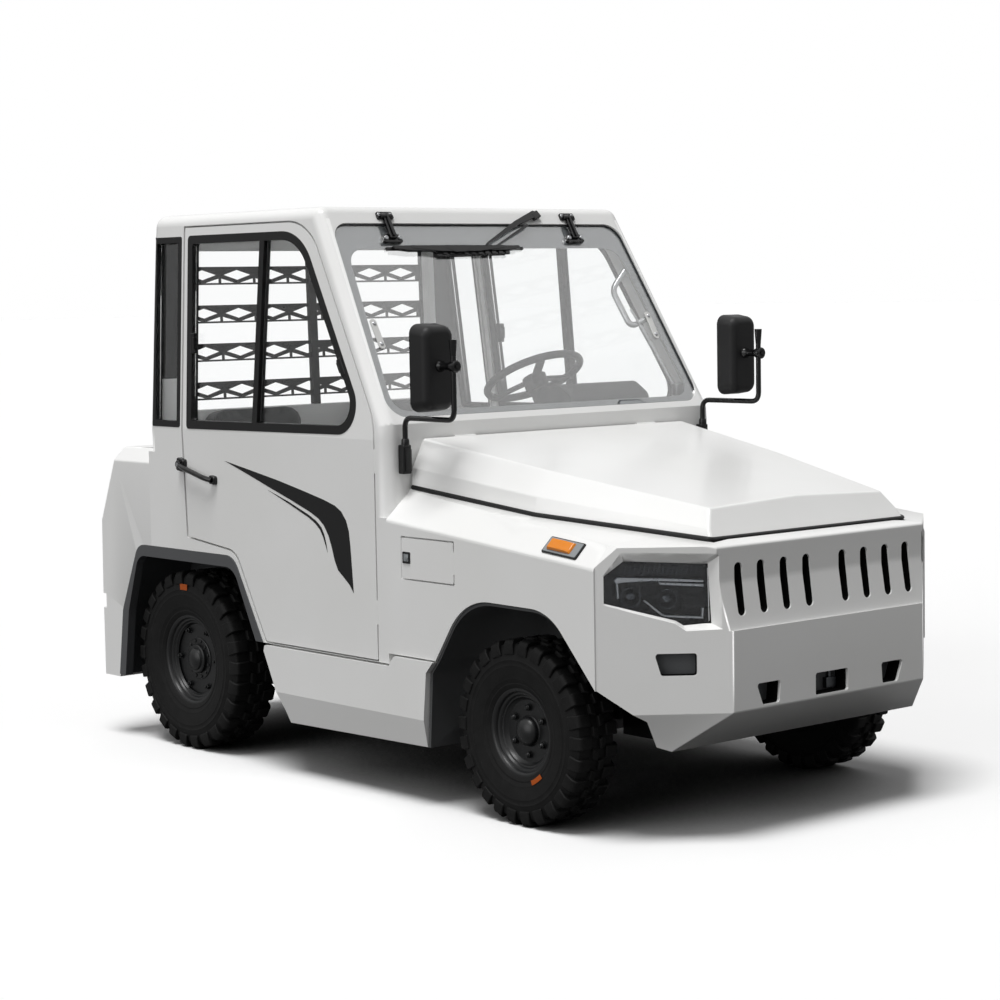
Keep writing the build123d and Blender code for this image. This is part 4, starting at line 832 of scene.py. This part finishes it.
# cab outside: stripes, handles, windscreen border, hinges, wiper and mirrors
cab = {
    "stripe": [(-617, 1085), (-460, 1059), (-300, 1032), (-150, 1003), (-30, 978), (30, 962), (66, 944), (92, 915),
               (106, 880), (113, 830), (119, 760), (126, 674), (104, 700), (74, 722), (42, 744), (24, 776),
               (8, 822), (-8, 858), (-32, 890), (-62, 912), (-110, 932), (-220, 967), (-332, 1000), (-470, 1042)],
    "thread": [(-356, 995), (-230, 952), (-120, 913), (-84, 896), (-56, 876), (-38, 850), (-24, 820), (-15, 800),
               (-22, 832), (-32, 860), (-48, 884), (-76, 904), (-118, 922), (-235, 961)],
    "screenBottom": 1240.0, "screenSlope": 0.589, "cowlX": 309.0, "wallY": 760, "glassBack": -16,
}
mirror = {"footY": 690, "headY": 702, "armX": 600, "headX": 499, "headZ": 1428, "headSize": (72, 142, 286)}
screenStretch = sqrt(1 + cab["screenSlope"] ** 2)
screenHigh = (1925 - 15.5 - 1240) * screenStretch
screenFrame = frameAt((cab["cowlX"], 0, cab["screenBottom"]), (0, 1, 0), (-cab["screenSlope"], 0, 1))


def sideFrame(side):
    # X towards the nose, Y up, Z out of the right or left wall
    wall = frameAt((0, -cab["wallY"], 0), (1, 0, 0), (0, 0, 1))
    return wall if side < 0 else Matrix.Scale(-1, 4, (0, 1, 0)) @ wall


def addStripes(side, hand, body):
    bm = bmesh.new()
    wall = sideFrame(side)
    for outline in (cab["stripe"], cab["thread"]):
        addPlate(bm, outline, wall, -0.3, 0.7)
    finishPiece(bm, "doorStripes" + hand, body, "vinylFilm")


def addDoorHandle(side, hand, body):
    bm = bmesh.new()
    wall = sideFrame(side)

    def out(x, z, d):
        return (x, side * (cab["wallY"] + d), z)

    addPlate(bm, [(-912, 1040), (-866, 1034), (-858, 1078), (-904, 1088)], wall, -1, 17, 4, 10, 3)
    addTurned(bm, [(0, 16), (15, 16), (15, 24), (12, 27), (0, 27)], wall @ Matrix.Translation((-886, 1062, 0)), 24)
    addBent(bm, [out(-878, 1058, 20), out(-845, 1050, 26), out(-715, 1020, 26), out(-684, 1013, 14)], 9.5, 22, 4)
    addPlate(bm, [(-704, 1000), (-668, 996), (-666, 1026), (-700, 1032)], wall, -1, 15, 4, 9, 3)
    finishPiece(bm, "doorHandle" + hand, body, "gloss", (), 40)
    lock = bmesh.new()
    addTurned(lock, [(0, 26), (7.5, 26), (7.5, 28.2), (0, 28.2)], wall @ Matrix.Translation((-886, 1062, 0)), 20)
    finishPiece(lock, "doorLock" + hand, body, "steel")


def addWindowParts(side, hand, body):
    # latch pulls at both ends of the panes and the thin edge of the sliding pane
    bm = bmesh.new()

    def at(x, z, d):
        y = cab["wallY"] - (0 if z < 1190 else (z - 1190) * 60 / 735)  # the wall leans in above the sill
        return (x, side * (y - d), z)

    for x, z, long in ((-838, 1500, 74), (60, 1425, 66)):
        turn = Matrix.Rotation(radians(0 if x < 0 else -27), 4, "Y")
        addBlock(bm, at(x, z, 6), (26, 22, long), 4, 3, turn)
        addBlock(bm, at(x + (10 if x < 0 else -10), z, 2), (10, 18, long * 0.6), 3, 3, turn)
    addRod(bm, at(-408, 1232, 12), at(-408, 1868, 12), 3.0, 8)
    addRod(bm, at(-398, 1232, 14), at(-398, 1868, 14), 1.6, 6)
    finishPiece(bm, "windowLatches" + hand, body, "seal")


def addGlass():
    # the windscreen on its own, apart from the small fixed panes behind the doors
    for name, keep, finish in (("windscreenGlass", lambda low, high: high.x > 0, "screen"),
                               ("quarterGlass", lambda low, high: high.x <= 0, "glass")):
        finishPiece(fromCad(["fixed_glass"], keep), name, "chassis", finish, ["fixed_glass"], 30)


def addScreenBorder():
    half, high = (cab["wallY"] - 38, cab["wallY"] - 98), screenHigh
    outer = rounded([(-half[0], 24), (half[0], 24), (half[1], high), (-half[1], high)], 70)
    inner = rounded([(-half[0] + 34, 52), (half[0] - 34, 52), (half[1] - 36, high - 96), (-half[1] + 36, high - 96)],
                    78)
    border = bmesh.new()
    addRing(border, outer, inner, screenFrame, cab["glassBack"] - 1.6, cab["glassBack"] - 0.3)
    finishPiece(border, "screenBorder", "chassis", "frit")
    seal = bmesh.new()
    wide = rounded([(-half[0] - 1, 23), (half[0] + 1, 23), (half[1] + 1, high + 1), (-half[1] - 1, high + 1)], 71)
    thin = rounded([(-half[0] + 4, 28), (half[0] - 4, 28), (half[1] - 4, high - 4), (-half[1] + 4, high - 4)], 68)
    addRing(seal, wide, thin, screenFrame, -12, -6)
    finishPiece(seal, "screenSeal", "chassis", "sealGrey")


def onScreen(y, up, out):
    return screenFrame @ Vector((y, up, out))


def addScreenFittings():
    black = bmesh.new()
    bolts = bmesh.new()
    for y in (-424, 424):
        # hinge leaves: half width and height of foot and head, then depths, edge, corner and segments
        for foot, low, head, high, shape in ((42, -78, 34, -46, (-9.5, 4, 2, 7)), (15, -66, 12, 34, (2, 14, 4, 3, 3)),
                                             (5, -60, 4, 28, (12, 20, 2, 2, 2)), (36, 14, 34, 42, (0.4, 8, 2, 6))):
            addPlate(black, [(y - foot, screenHigh + low), (y + foot, screenHigh + low),
                             (y + head, screenHigh + high), (y - head, screenHigh + high)], screenFrame, *shape)
        addRod(black, onScreen(y - 24, screenHigh + 22, 10), onScreen(y + 24, screenHigh + 22, 10), 9, 16, 2)
        for dy, up in ((-30, -62), (30, -62), (-25, 30), (25, 30)):
            addTurned(bolts, [(0, 3), (8.5, 3), (8.5, 8), (6.5, 10), (3, 10), (3, 8), (0, 8)],
                      screenFrame @ Matrix.Translation((y + dy, screenHigh + up, 0)), 6)
    up = screenHigh - 101
    # wiper blade: a spine of overlapping yokes above the rubber
    addPlate(black, oblong(-464, up - 5, 156, up + 5), screenFrame, -9.5, 0, 1.5)
    for x, wide, high in ((-154, 420, 40), (-330, 220, 30), (22, 220, 30), (-154, 120, 46)):
        addPlate(black, [(x - wide / 2, up - 7), (x - wide * 0.2, up - high / 2), (x + wide * 0.2, up - high / 2),
                         (x + wide / 2, up - 7), (x + wide / 2, up + 5), (x - wide / 2, up + 5)],
                 screenFrame, -2, 6 + high / 6, 2)
    addPlate(black, [(-245, up - 34), (66, up - 26), (70, up - 2), (-245, up - 6)], screenFrame, -9.5, 2, 2, 6)
    for x in range(-230, 60, 32):
        addPlate(black, [(x, up - 28), (x + 20, up - 28), (x + 24, up - 8), (x + 4, up - 8)], screenFrame, 1, 6,
                 1.5, 3)
    # the arm tapers from its pivot on the roof rail to the blade; a thinner bar runs below it
    addPlate(black, [(-26, up + 2), (-18, up + 14), (150, screenHigh + 2), (258, screenHigh + 48),
                     (276, screenHigh + 42), (270, screenHigh + 24), (160, screenHigh - 14)],
             screenFrame, 6, 15, 3, 3, 3)
    addPlate(black, [(20, up + 2), (36, up + 12), (215, screenHigh - 2), (222, screenHigh - 10),
                     (205, screenHigh - 18)], screenFrame, -2, 5, 2, 3)
    addBlock(black, onScreen(268, screenHigh + 30, 8), (40, 30, 16), 5, 3,
             screenFrame.to_3x3().to_4x4() @ Matrix.Rotation(radians(24), 4, "Z"))
    finishPiece(black, "screenHinges", "chassis", "gloss", ["screen_fittings"], 35)
    plates = bmesh.new()
    for side in (-1, 1):
        y = side * 637
        addPlate(plates, oblong(y - 13, screenHigh - 488, y + 13, screenHigh - 374), screenFrame, -9.6, -5.5,
                 1.5, 11)
        for up in (-470, -392):
            addTurned(bolts, [(0, -6), (7, -6), (7, -3), (5, -1.5), (0, -1.5)],
                      screenFrame @ Matrix.Translation((y, screenHigh + up, 0)), 12)
    finishPiece(plates, "screenLatchPlates", "chassis", "pale")
    finishPiece(bolts, "screenBolts", "chassis", "steel")
    # inside the glass: the pull loop and the stay that holds the screen open
    inside = bmesh.new()
    y = 560
    addBent(inside, [onScreen(y + 70, screenHigh - 190, -24), onScreen(y + 4, screenHigh - 250, -60),
                     onScreen(y + 20, screenHigh - 410, -60), onScreen(y + 92, screenHigh - 392, -24)], 11, 30, 4)
    addRod(inside, onScreen(604, screenHigh - 420, -34), onScreen(676, screenHigh - 680, -60), 9, 14, 2)
    addRod(inside, onScreen(604, screenHigh - 420, -34), onScreen(585, screenHigh - 350, -30), 4.5, 12, 1)
    addBlock(inside, onScreen(676, screenHigh - 680, -52), (30, 40, 44), 6)
    finishPiece(inside, "screenStay", "chassis", "steel")


def addMirror(side):
    hand = "Right" if side < 0 else "Left"
    y, headY, armX = side * mirror["footY"], side * mirror["headY"], mirror["armX"]
    arm = bmesh.new()
    addBlock(arm, (327, y, 1126), (30, 34, 96), 4, 3)
    addBlock(arm, (323, y - side * 20, 1122), (20, 12, 74), 3, 2)
    addBlock(arm, (343, y, 1126), (8, 22, 80), 3, 2)
    addTurned(arm, [(0, -12), (13, -12), (14, -8), (13, 8), (11, 12), (0, 12)],
              Matrix.Translation((331, y, 1182)), 20)
    addBent(arm, [(331, y, 1170), (331, y, 1262), (armX, headY, 1262), (armX, headY, 1488)], 9, 34, 6)
    addTurned(arm, [(0, -24), (9.5, -24), (13, 22), (13, 27), (0, 27)], Matrix.Translation((armX, headY, 1492)), 20)
    # ball clamp: two cups on a neck between the arm and the head's back
    cups = Matrix.Translation((armX, headY, 1434)) @ Matrix.Rotation(radians(-90), 4, "Y")
    addTurned(arm, [(0, -19), (16, -19), (20, -15), (20, -9), (16, -6), (17, 8), (14, 14), (12, 20), (12, 50),
                    (18, 58), (20, 66), (0, 66)], cups, 28)
    addTurned(arm, [(0, -24), (8, -24), (9, -20), (9, -18), (0, -18)], cups, 6)
    finishPiece(arm, "mirrorArm" + hand, "chassis", "gloss", ["mirrors"], 40)
    # head: a pillow-shaped shell, its glass facing the driver
    head = bmesh.new()
    part = bmesh.new()
    bmesh.ops.create_cube(part, size=1.0)
    bmesh.ops.scale(part, vec=mirror["headSize"], verts=part.verts)
    for vert in part.verts:
        if vert.co.x > 0:
            vert.co.y *= 0.84
            vert.co.z *= 0.93
    roundOff(part, 34, 7, 20, lambda e: abs(e.verts[0].co.x - e.verts[1].co.x) > 1)
    roundOff(part, 22, 6, 50, lambda e: min(v.co.x for v in e.verts) > 0)
    roundOff(part, 4, 2, 50, lambda e: max(v.co.x for v in e.verts) < -34)
    back = [f for f in part.faces if f.normal.x < -0.95]
    bmesh.ops.inset_region(part, faces=back, thickness=5, depth=0)
    bmesh.ops.translate(part, vec=(3.5, 0, 0), verts=list({v for f in back for v in f.verts}))
    join(head, part, Matrix.Translation((mirror["headX"], headY, mirror["headZ"])))
    finishPiece(head, "mirrorHead" + hand, "chassis", "trim", (), 50)
    glass = bmesh.new()
    addPlate(glass, oblong(-64, -134, 64, 134),
             frameAt((465.8, headY, mirror["headZ"]), (0, -1, 0), (0, 0, 1)), 0, 2.0, 0.5, 28)
    finishPiece(glass, "mirrorGlass" + hand, "chassis", "mirror")


for hand, side in (("Right", -1), ("Left", 1)):
    body = "door_" + hand.lower()
    addStripes(side, hand, body)
    addDoorHandle(side, hand, body)
    addWindowParts(side, hand, body)
    addMirror(side)
addGlass()
addScreenBorder()
addScreenFittings()
print("cab dressed")


# seats: each pad is remeshed, blown up a little as cloth, capped and smoothed
seat = {"voxel": 6.0, "pressure": 4.0, "swell": 9.0, "frames": 20, "shrink": 14.0}


def solidBoxes(name):
    # the boxes of one CAD node's solids, in mm
    whole = fromCad([name])
    boxes = [extentOf(island) for island in islandsOf(whole)]
    whole.free()
    return boxes


def padMesh(nodeName, middle):
    return fromCad([nodeName], lambda low, high: ((low + high) / 2 - middle).length < 5)


def swell(bm, name):
    low, high = extentOf(bm.verts)
    middle = (low + high) / 2
    size = high - low
    ratio = Vector([(size[i] - seat["shrink"]) / size[i] for i in range(3)])
    for vert in bm.verts:
        vert.co = Vector([middle[i] + (vert.co[i] - middle[i]) * ratio[i] for i in range(3)])
    bmesh.ops.scale(bm, vec=(0.001, 0.001, 0.001), verts=bm.verts)
    mesh = bpy.data.meshes.new(name)
    bm.to_mesh(mesh)
    bm.free()
    pad = bpy.data.objects.new(name, mesh)
    scene.collection.objects.link(pad)
    remesh = pad.modifiers.new("remesh", "REMESH")
    remesh.mode = "VOXEL"
    remesh.voxel_size = seat["voxel"] / 1000
    applyAll(pad)
    smooth = bmesh.new()
    smooth.from_mesh(pad.data)
    for step in range(6):
        bmesh.ops.smooth_vert(smooth, verts=smooth.verts, factor=0.5, use_axis_x=True, use_axis_y=True,
                              use_axis_z=True)
    smooth.to_mesh(pad.data)
    smooth.free()
    start = [v.co.copy() for v in pad.data.vertices]
    cloth = pad.modifiers.new("cloth", "CLOTH")
    cloth.settings.use_pressure = True
    cloth.settings.uniform_pressure_force = seat["pressure"]
    cloth.settings.effector_weights.gravity = 0.0
    cloth.settings.quality = 5
    cloth.point_cache.frame_start = 1
    cloth.point_cache.frame_end = seat["frames"]
    for step in range(1, seat["frames"] + 1):
        scene.frame_set(step)
    applyAll(pad)
    cap = seat["swell"] / 1000
    for vert, first in zip(pad.data.vertices, start):
        moved = vert.co - first
        if moved.length > cap:
            vert.co = first + moved.normalized() * cap
    scene.frame_set(1)
    return pad


def applyAll(piece):
    graph = bpy.context.evaluated_depsgraph_get()
    made = bpy.data.meshes.new_from_object(piece.evaluated_get(graph))
    piece.modifiers.clear()
    old = piece.data
    piece.data = made
    bpy.data.meshes.remove(old)


def addPads():
    count = 0
    for nodeName, word in (("seat_cushions", "seatCushion"), ("seat_backs", "seatBack")):
        for low, high in solidBoxes(nodeName):
            middle = (low + high) / 2
            hand = "Right" if middle.y < 0 else "Left"
            pad = swell(padMesh(nodeName, middle), word + hand)
            pad.data.materials.append(look["vinyl"])
            for face in pad.data.polygons:
                face.use_smooth = True
            smoother = pad.modifiers.new("smooth", "SUBSURF")
            smoother.levels = 1
            smoother.render_levels = 1
            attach(pad, "chassis")
            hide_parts(nodeName)
            count += 1
    print("seats padded,", count)


def addWheelTrim():
    # the steering wheel's own form, shaded smooth
    finishPiece(fromCad(["steering_wheel"]), "steeringWheelRim", "steering_wheel", "trim", ["steering_wheel"], 40)


addPads()
addWheelTrim()


# finishes of the CAD's own pieces; door_panel and its like stand for both hands
carriedOver = {
    "chassis_frame": "frame", "cab_floor": "frame", "cab_frame": "paint", "cab_roof": "paint",
    "fixed_glass": "glass", "quarter_trims": "seal", "rear_guard": "guard", "hood": "paint",
    "front_fenders": "paint", "fuel_flap": "paint", "front_bumper": "paint", "headlamps": "lens",
    "front_arch_liners": "liner", "radiator": "core", "engine_block": "engine", "side_skirts": "paint",
    "rear_body": "paint", "rear_arch_liners": "arch", "signal_lamps": "amber", "tow_coupling": "frame",
    "tow_pin": "darkSteel", "rear_axle": "frame", "front_axle": "frame", "seat_box": "dash",
    "seat_cushions": "vinyl", "seat_backs": "vinyl", "dashboard": "dash", "driver_controls": "trim",
    "steering_wheel": "trim", "mirrors": "trim", "screen_fittings": "trim", "door_panel": "paint",
    "door_trim": "seal", "door_glass": "glass", "knuckle": "frame", "front_tyre": "tyre",
    "rear_tyre": "tyre", "front_rim": "rim", "rear_rim": "rim",
}
for nodeName, node in nodes.items():
    key = nodeName if nodeName in carriedOver else nodeName.rsplit("_", 1)[0]
    node.data.materials.clear()
    node.data.materials.append(look[carriedOver[key]])
print("CAD pieces dressed")


# studio: pale floor, two soft lamps and the camera
studio = {"floor": "ffffff", "bounce": 0.07, "ambient": 0.2, "overhead": 2.34, "side": 0.98, "floorGloss": 0.3,
          "lens": 87.7, "eye": (6.5838, -5.6308, 1.6794), "turn": 139.48, "dip": 4.97, "roll": -1.0}


def addFloor():
    bm = bmesh.new()
    bmesh.ops.create_grid(bm, x_segments=1, y_segments=1, size=150)
    mesh = bpy.data.meshes.new("floor")
    bm.to_mesh(mesh)
    bm.free()
    floor = bpy.data.objects.new("floor", mesh)
    scene.collection.objects.link(floor)
    material = bpy.data.materials.new("paperSweep")
    material.use_nodes = True
    tree = material.node_tree
    tree.nodes.clear()
    path = addNode(tree, "ShaderNodeLightPath")
    glossy = addNode(tree, "ShaderNodeMath", {"operation": "MULTIPLY", 1: studio["floorGloss"]},
                     {0: path.outputs["Is Glossy Ray"]})
    seen = addNode(tree, "ShaderNodeMath", {"operation": "MAXIMUM"},
                   {0: path.outputs["Is Camera Ray"], 1: glossy.outputs[0]})
    seenToo = addNode(tree, "ShaderNodeMath", {"operation": "MAXIMUM"},
                      {0: seen.outputs[0], 1: path.outputs["Is Transmission Ray"]})
    dark = addNode(tree, "ShaderNodeBsdfDiffuse", {"Color": [studio["bounce"]] * 3 + [1.0]})
    # painted shadow: the paper's colour goes fully black where little of the sky is in sight, as under the machine
    paintedShadowOcclusion = addNode(tree, "ShaderNodeAmbientOcclusion", {"samples": 16, "Distance": 1.2})
    clear = addNode(tree, "ShaderNodeMapRange", {"From Min": 0.02, "From Max": 0.5}, {"Value": paintedShadowOcclusion.outputs["AO"]})
    # the painted shadow: black mixed into the paper's own colour by the occlusion
    tint = addNode(tree, "ShaderNodeMix", {"data_type": "RGBA", 6: linear("000000"), 7: linear(studio["floor"])},
                   {0: clear.outputs["Result"]})
    pale = addNode(tree, "ShaderNodeBsdfDiffuse", None, {"Color": tint.outputs[2]})
    mix = addNode(tree, "ShaderNodeMixShader", None, {0: seenToo.outputs[0], 1: dark.outputs[0], 2: pale.outputs[0]})
    addNode(tree, "ShaderNodeOutputMaterial", None, {"Surface": mix.outputs[0]})
    mesh.materials.append(material)


def addSun(name, strength, angle, direction):
    light = bpy.data.lights.new(name, "SUN")
    light.energy = strength
    light.angle = radians(angle)
    lamp = bpy.data.objects.new(name, light)
    lamp.rotation_euler = Vector(direction).to_track_quat("-Z", "Y").to_euler()
    scene.collection.objects.link(lamp)


def addWorld():
    world = bpy.data.worlds.new("studio")
    world.use_nodes = True
    tree = world.node_tree
    tree.nodes.clear()
    path = addNode(tree, "ShaderNodeLightPath")
    # gloss sees a white ceiling that falls off to grey towards the horizon
    heading = addNode(tree, "ShaderNodeTexCoord").outputs["Generated"]
    height = addNode(tree, "ShaderNodeSeparateXYZ", None, {"Vector": heading}).outputs["Z"]
    ceiling = addNode(tree, "ShaderNodeMapRange", {"From Min": 0.02, "From Max": 0.55, "To Min": 0.12},
                      {"Value": height})
    glossy = addNode(tree, "ShaderNodeMath", {"operation": "MULTIPLY"},
                     {0: path.outputs["Is Glossy Ray"], 1: ceiling.outputs["Result"]})
    seen = addNode(tree, "ShaderNodeMath", {"operation": "MAXIMUM"},
                   {0: path.outputs["Is Camera Ray"], 1: glossy.outputs[0]})
    seenToo = addNode(tree, "ShaderNodeMath", {"operation": "MAXIMUM"},
                      {0: seen.outputs[0], 1: path.outputs["Is Transmission Ray"]})
    plain = addNode(tree, "ShaderNodeBackground", {"Strength": studio["ambient"]})
    white = addNode(tree, "ShaderNodeBackground", {"Strength": 1.0})
    for node in (plain, white):
        node.inputs["Color"].default_value = (1.0, 1.0, 1.0, 1.0)
    mix = addNode(tree, "ShaderNodeMixShader", None, {0: seenToo.outputs[0], 1: plain.outputs[0], 2: white.outputs[0]})
    addNode(tree, "ShaderNodeOutputWorld", None, {"Surface": mix.outputs[0]})
    scene.world = world


def addCamera():
    turn, dip, roll = (radians(studio[k]) for k in ("turn", "dip", "roll"))
    ahead = Vector((cos(turn) * cos(dip), sin(turn) * cos(dip), -sin(dip)))
    right = ahead.cross(Vector((0, 0, 1))).normalized()
    up = right.cross(ahead)
    across = right * cos(roll) + up * sin(roll)
    above = up * cos(roll) - right * sin(roll)
    data = bpy.data.cameras.new("camera")
    data.lens = studio["lens"]
    data.sensor_width = 36.0
    data.clip_end = 400.0
    camera = bpy.data.objects.new("camera", data)
    rows = Matrix((across, above, -ahead)).transposed().to_4x4()
    camera.matrix_world = Matrix.Translation(studio["eye"]) @ rows
    scene.collection.objects.link(camera)
    scene.camera = camera


addFloor()
addWorld()
addSun("overheadSoftbox", studio["overhead"], 26, (-0.12, 0.26, -1))
addSun("sideSoftbox", studio["side"], 50, (-0.05, 1, -0.3))
addCamera()
scene.view_settings.view_transform = "Standard"
print("studio set")
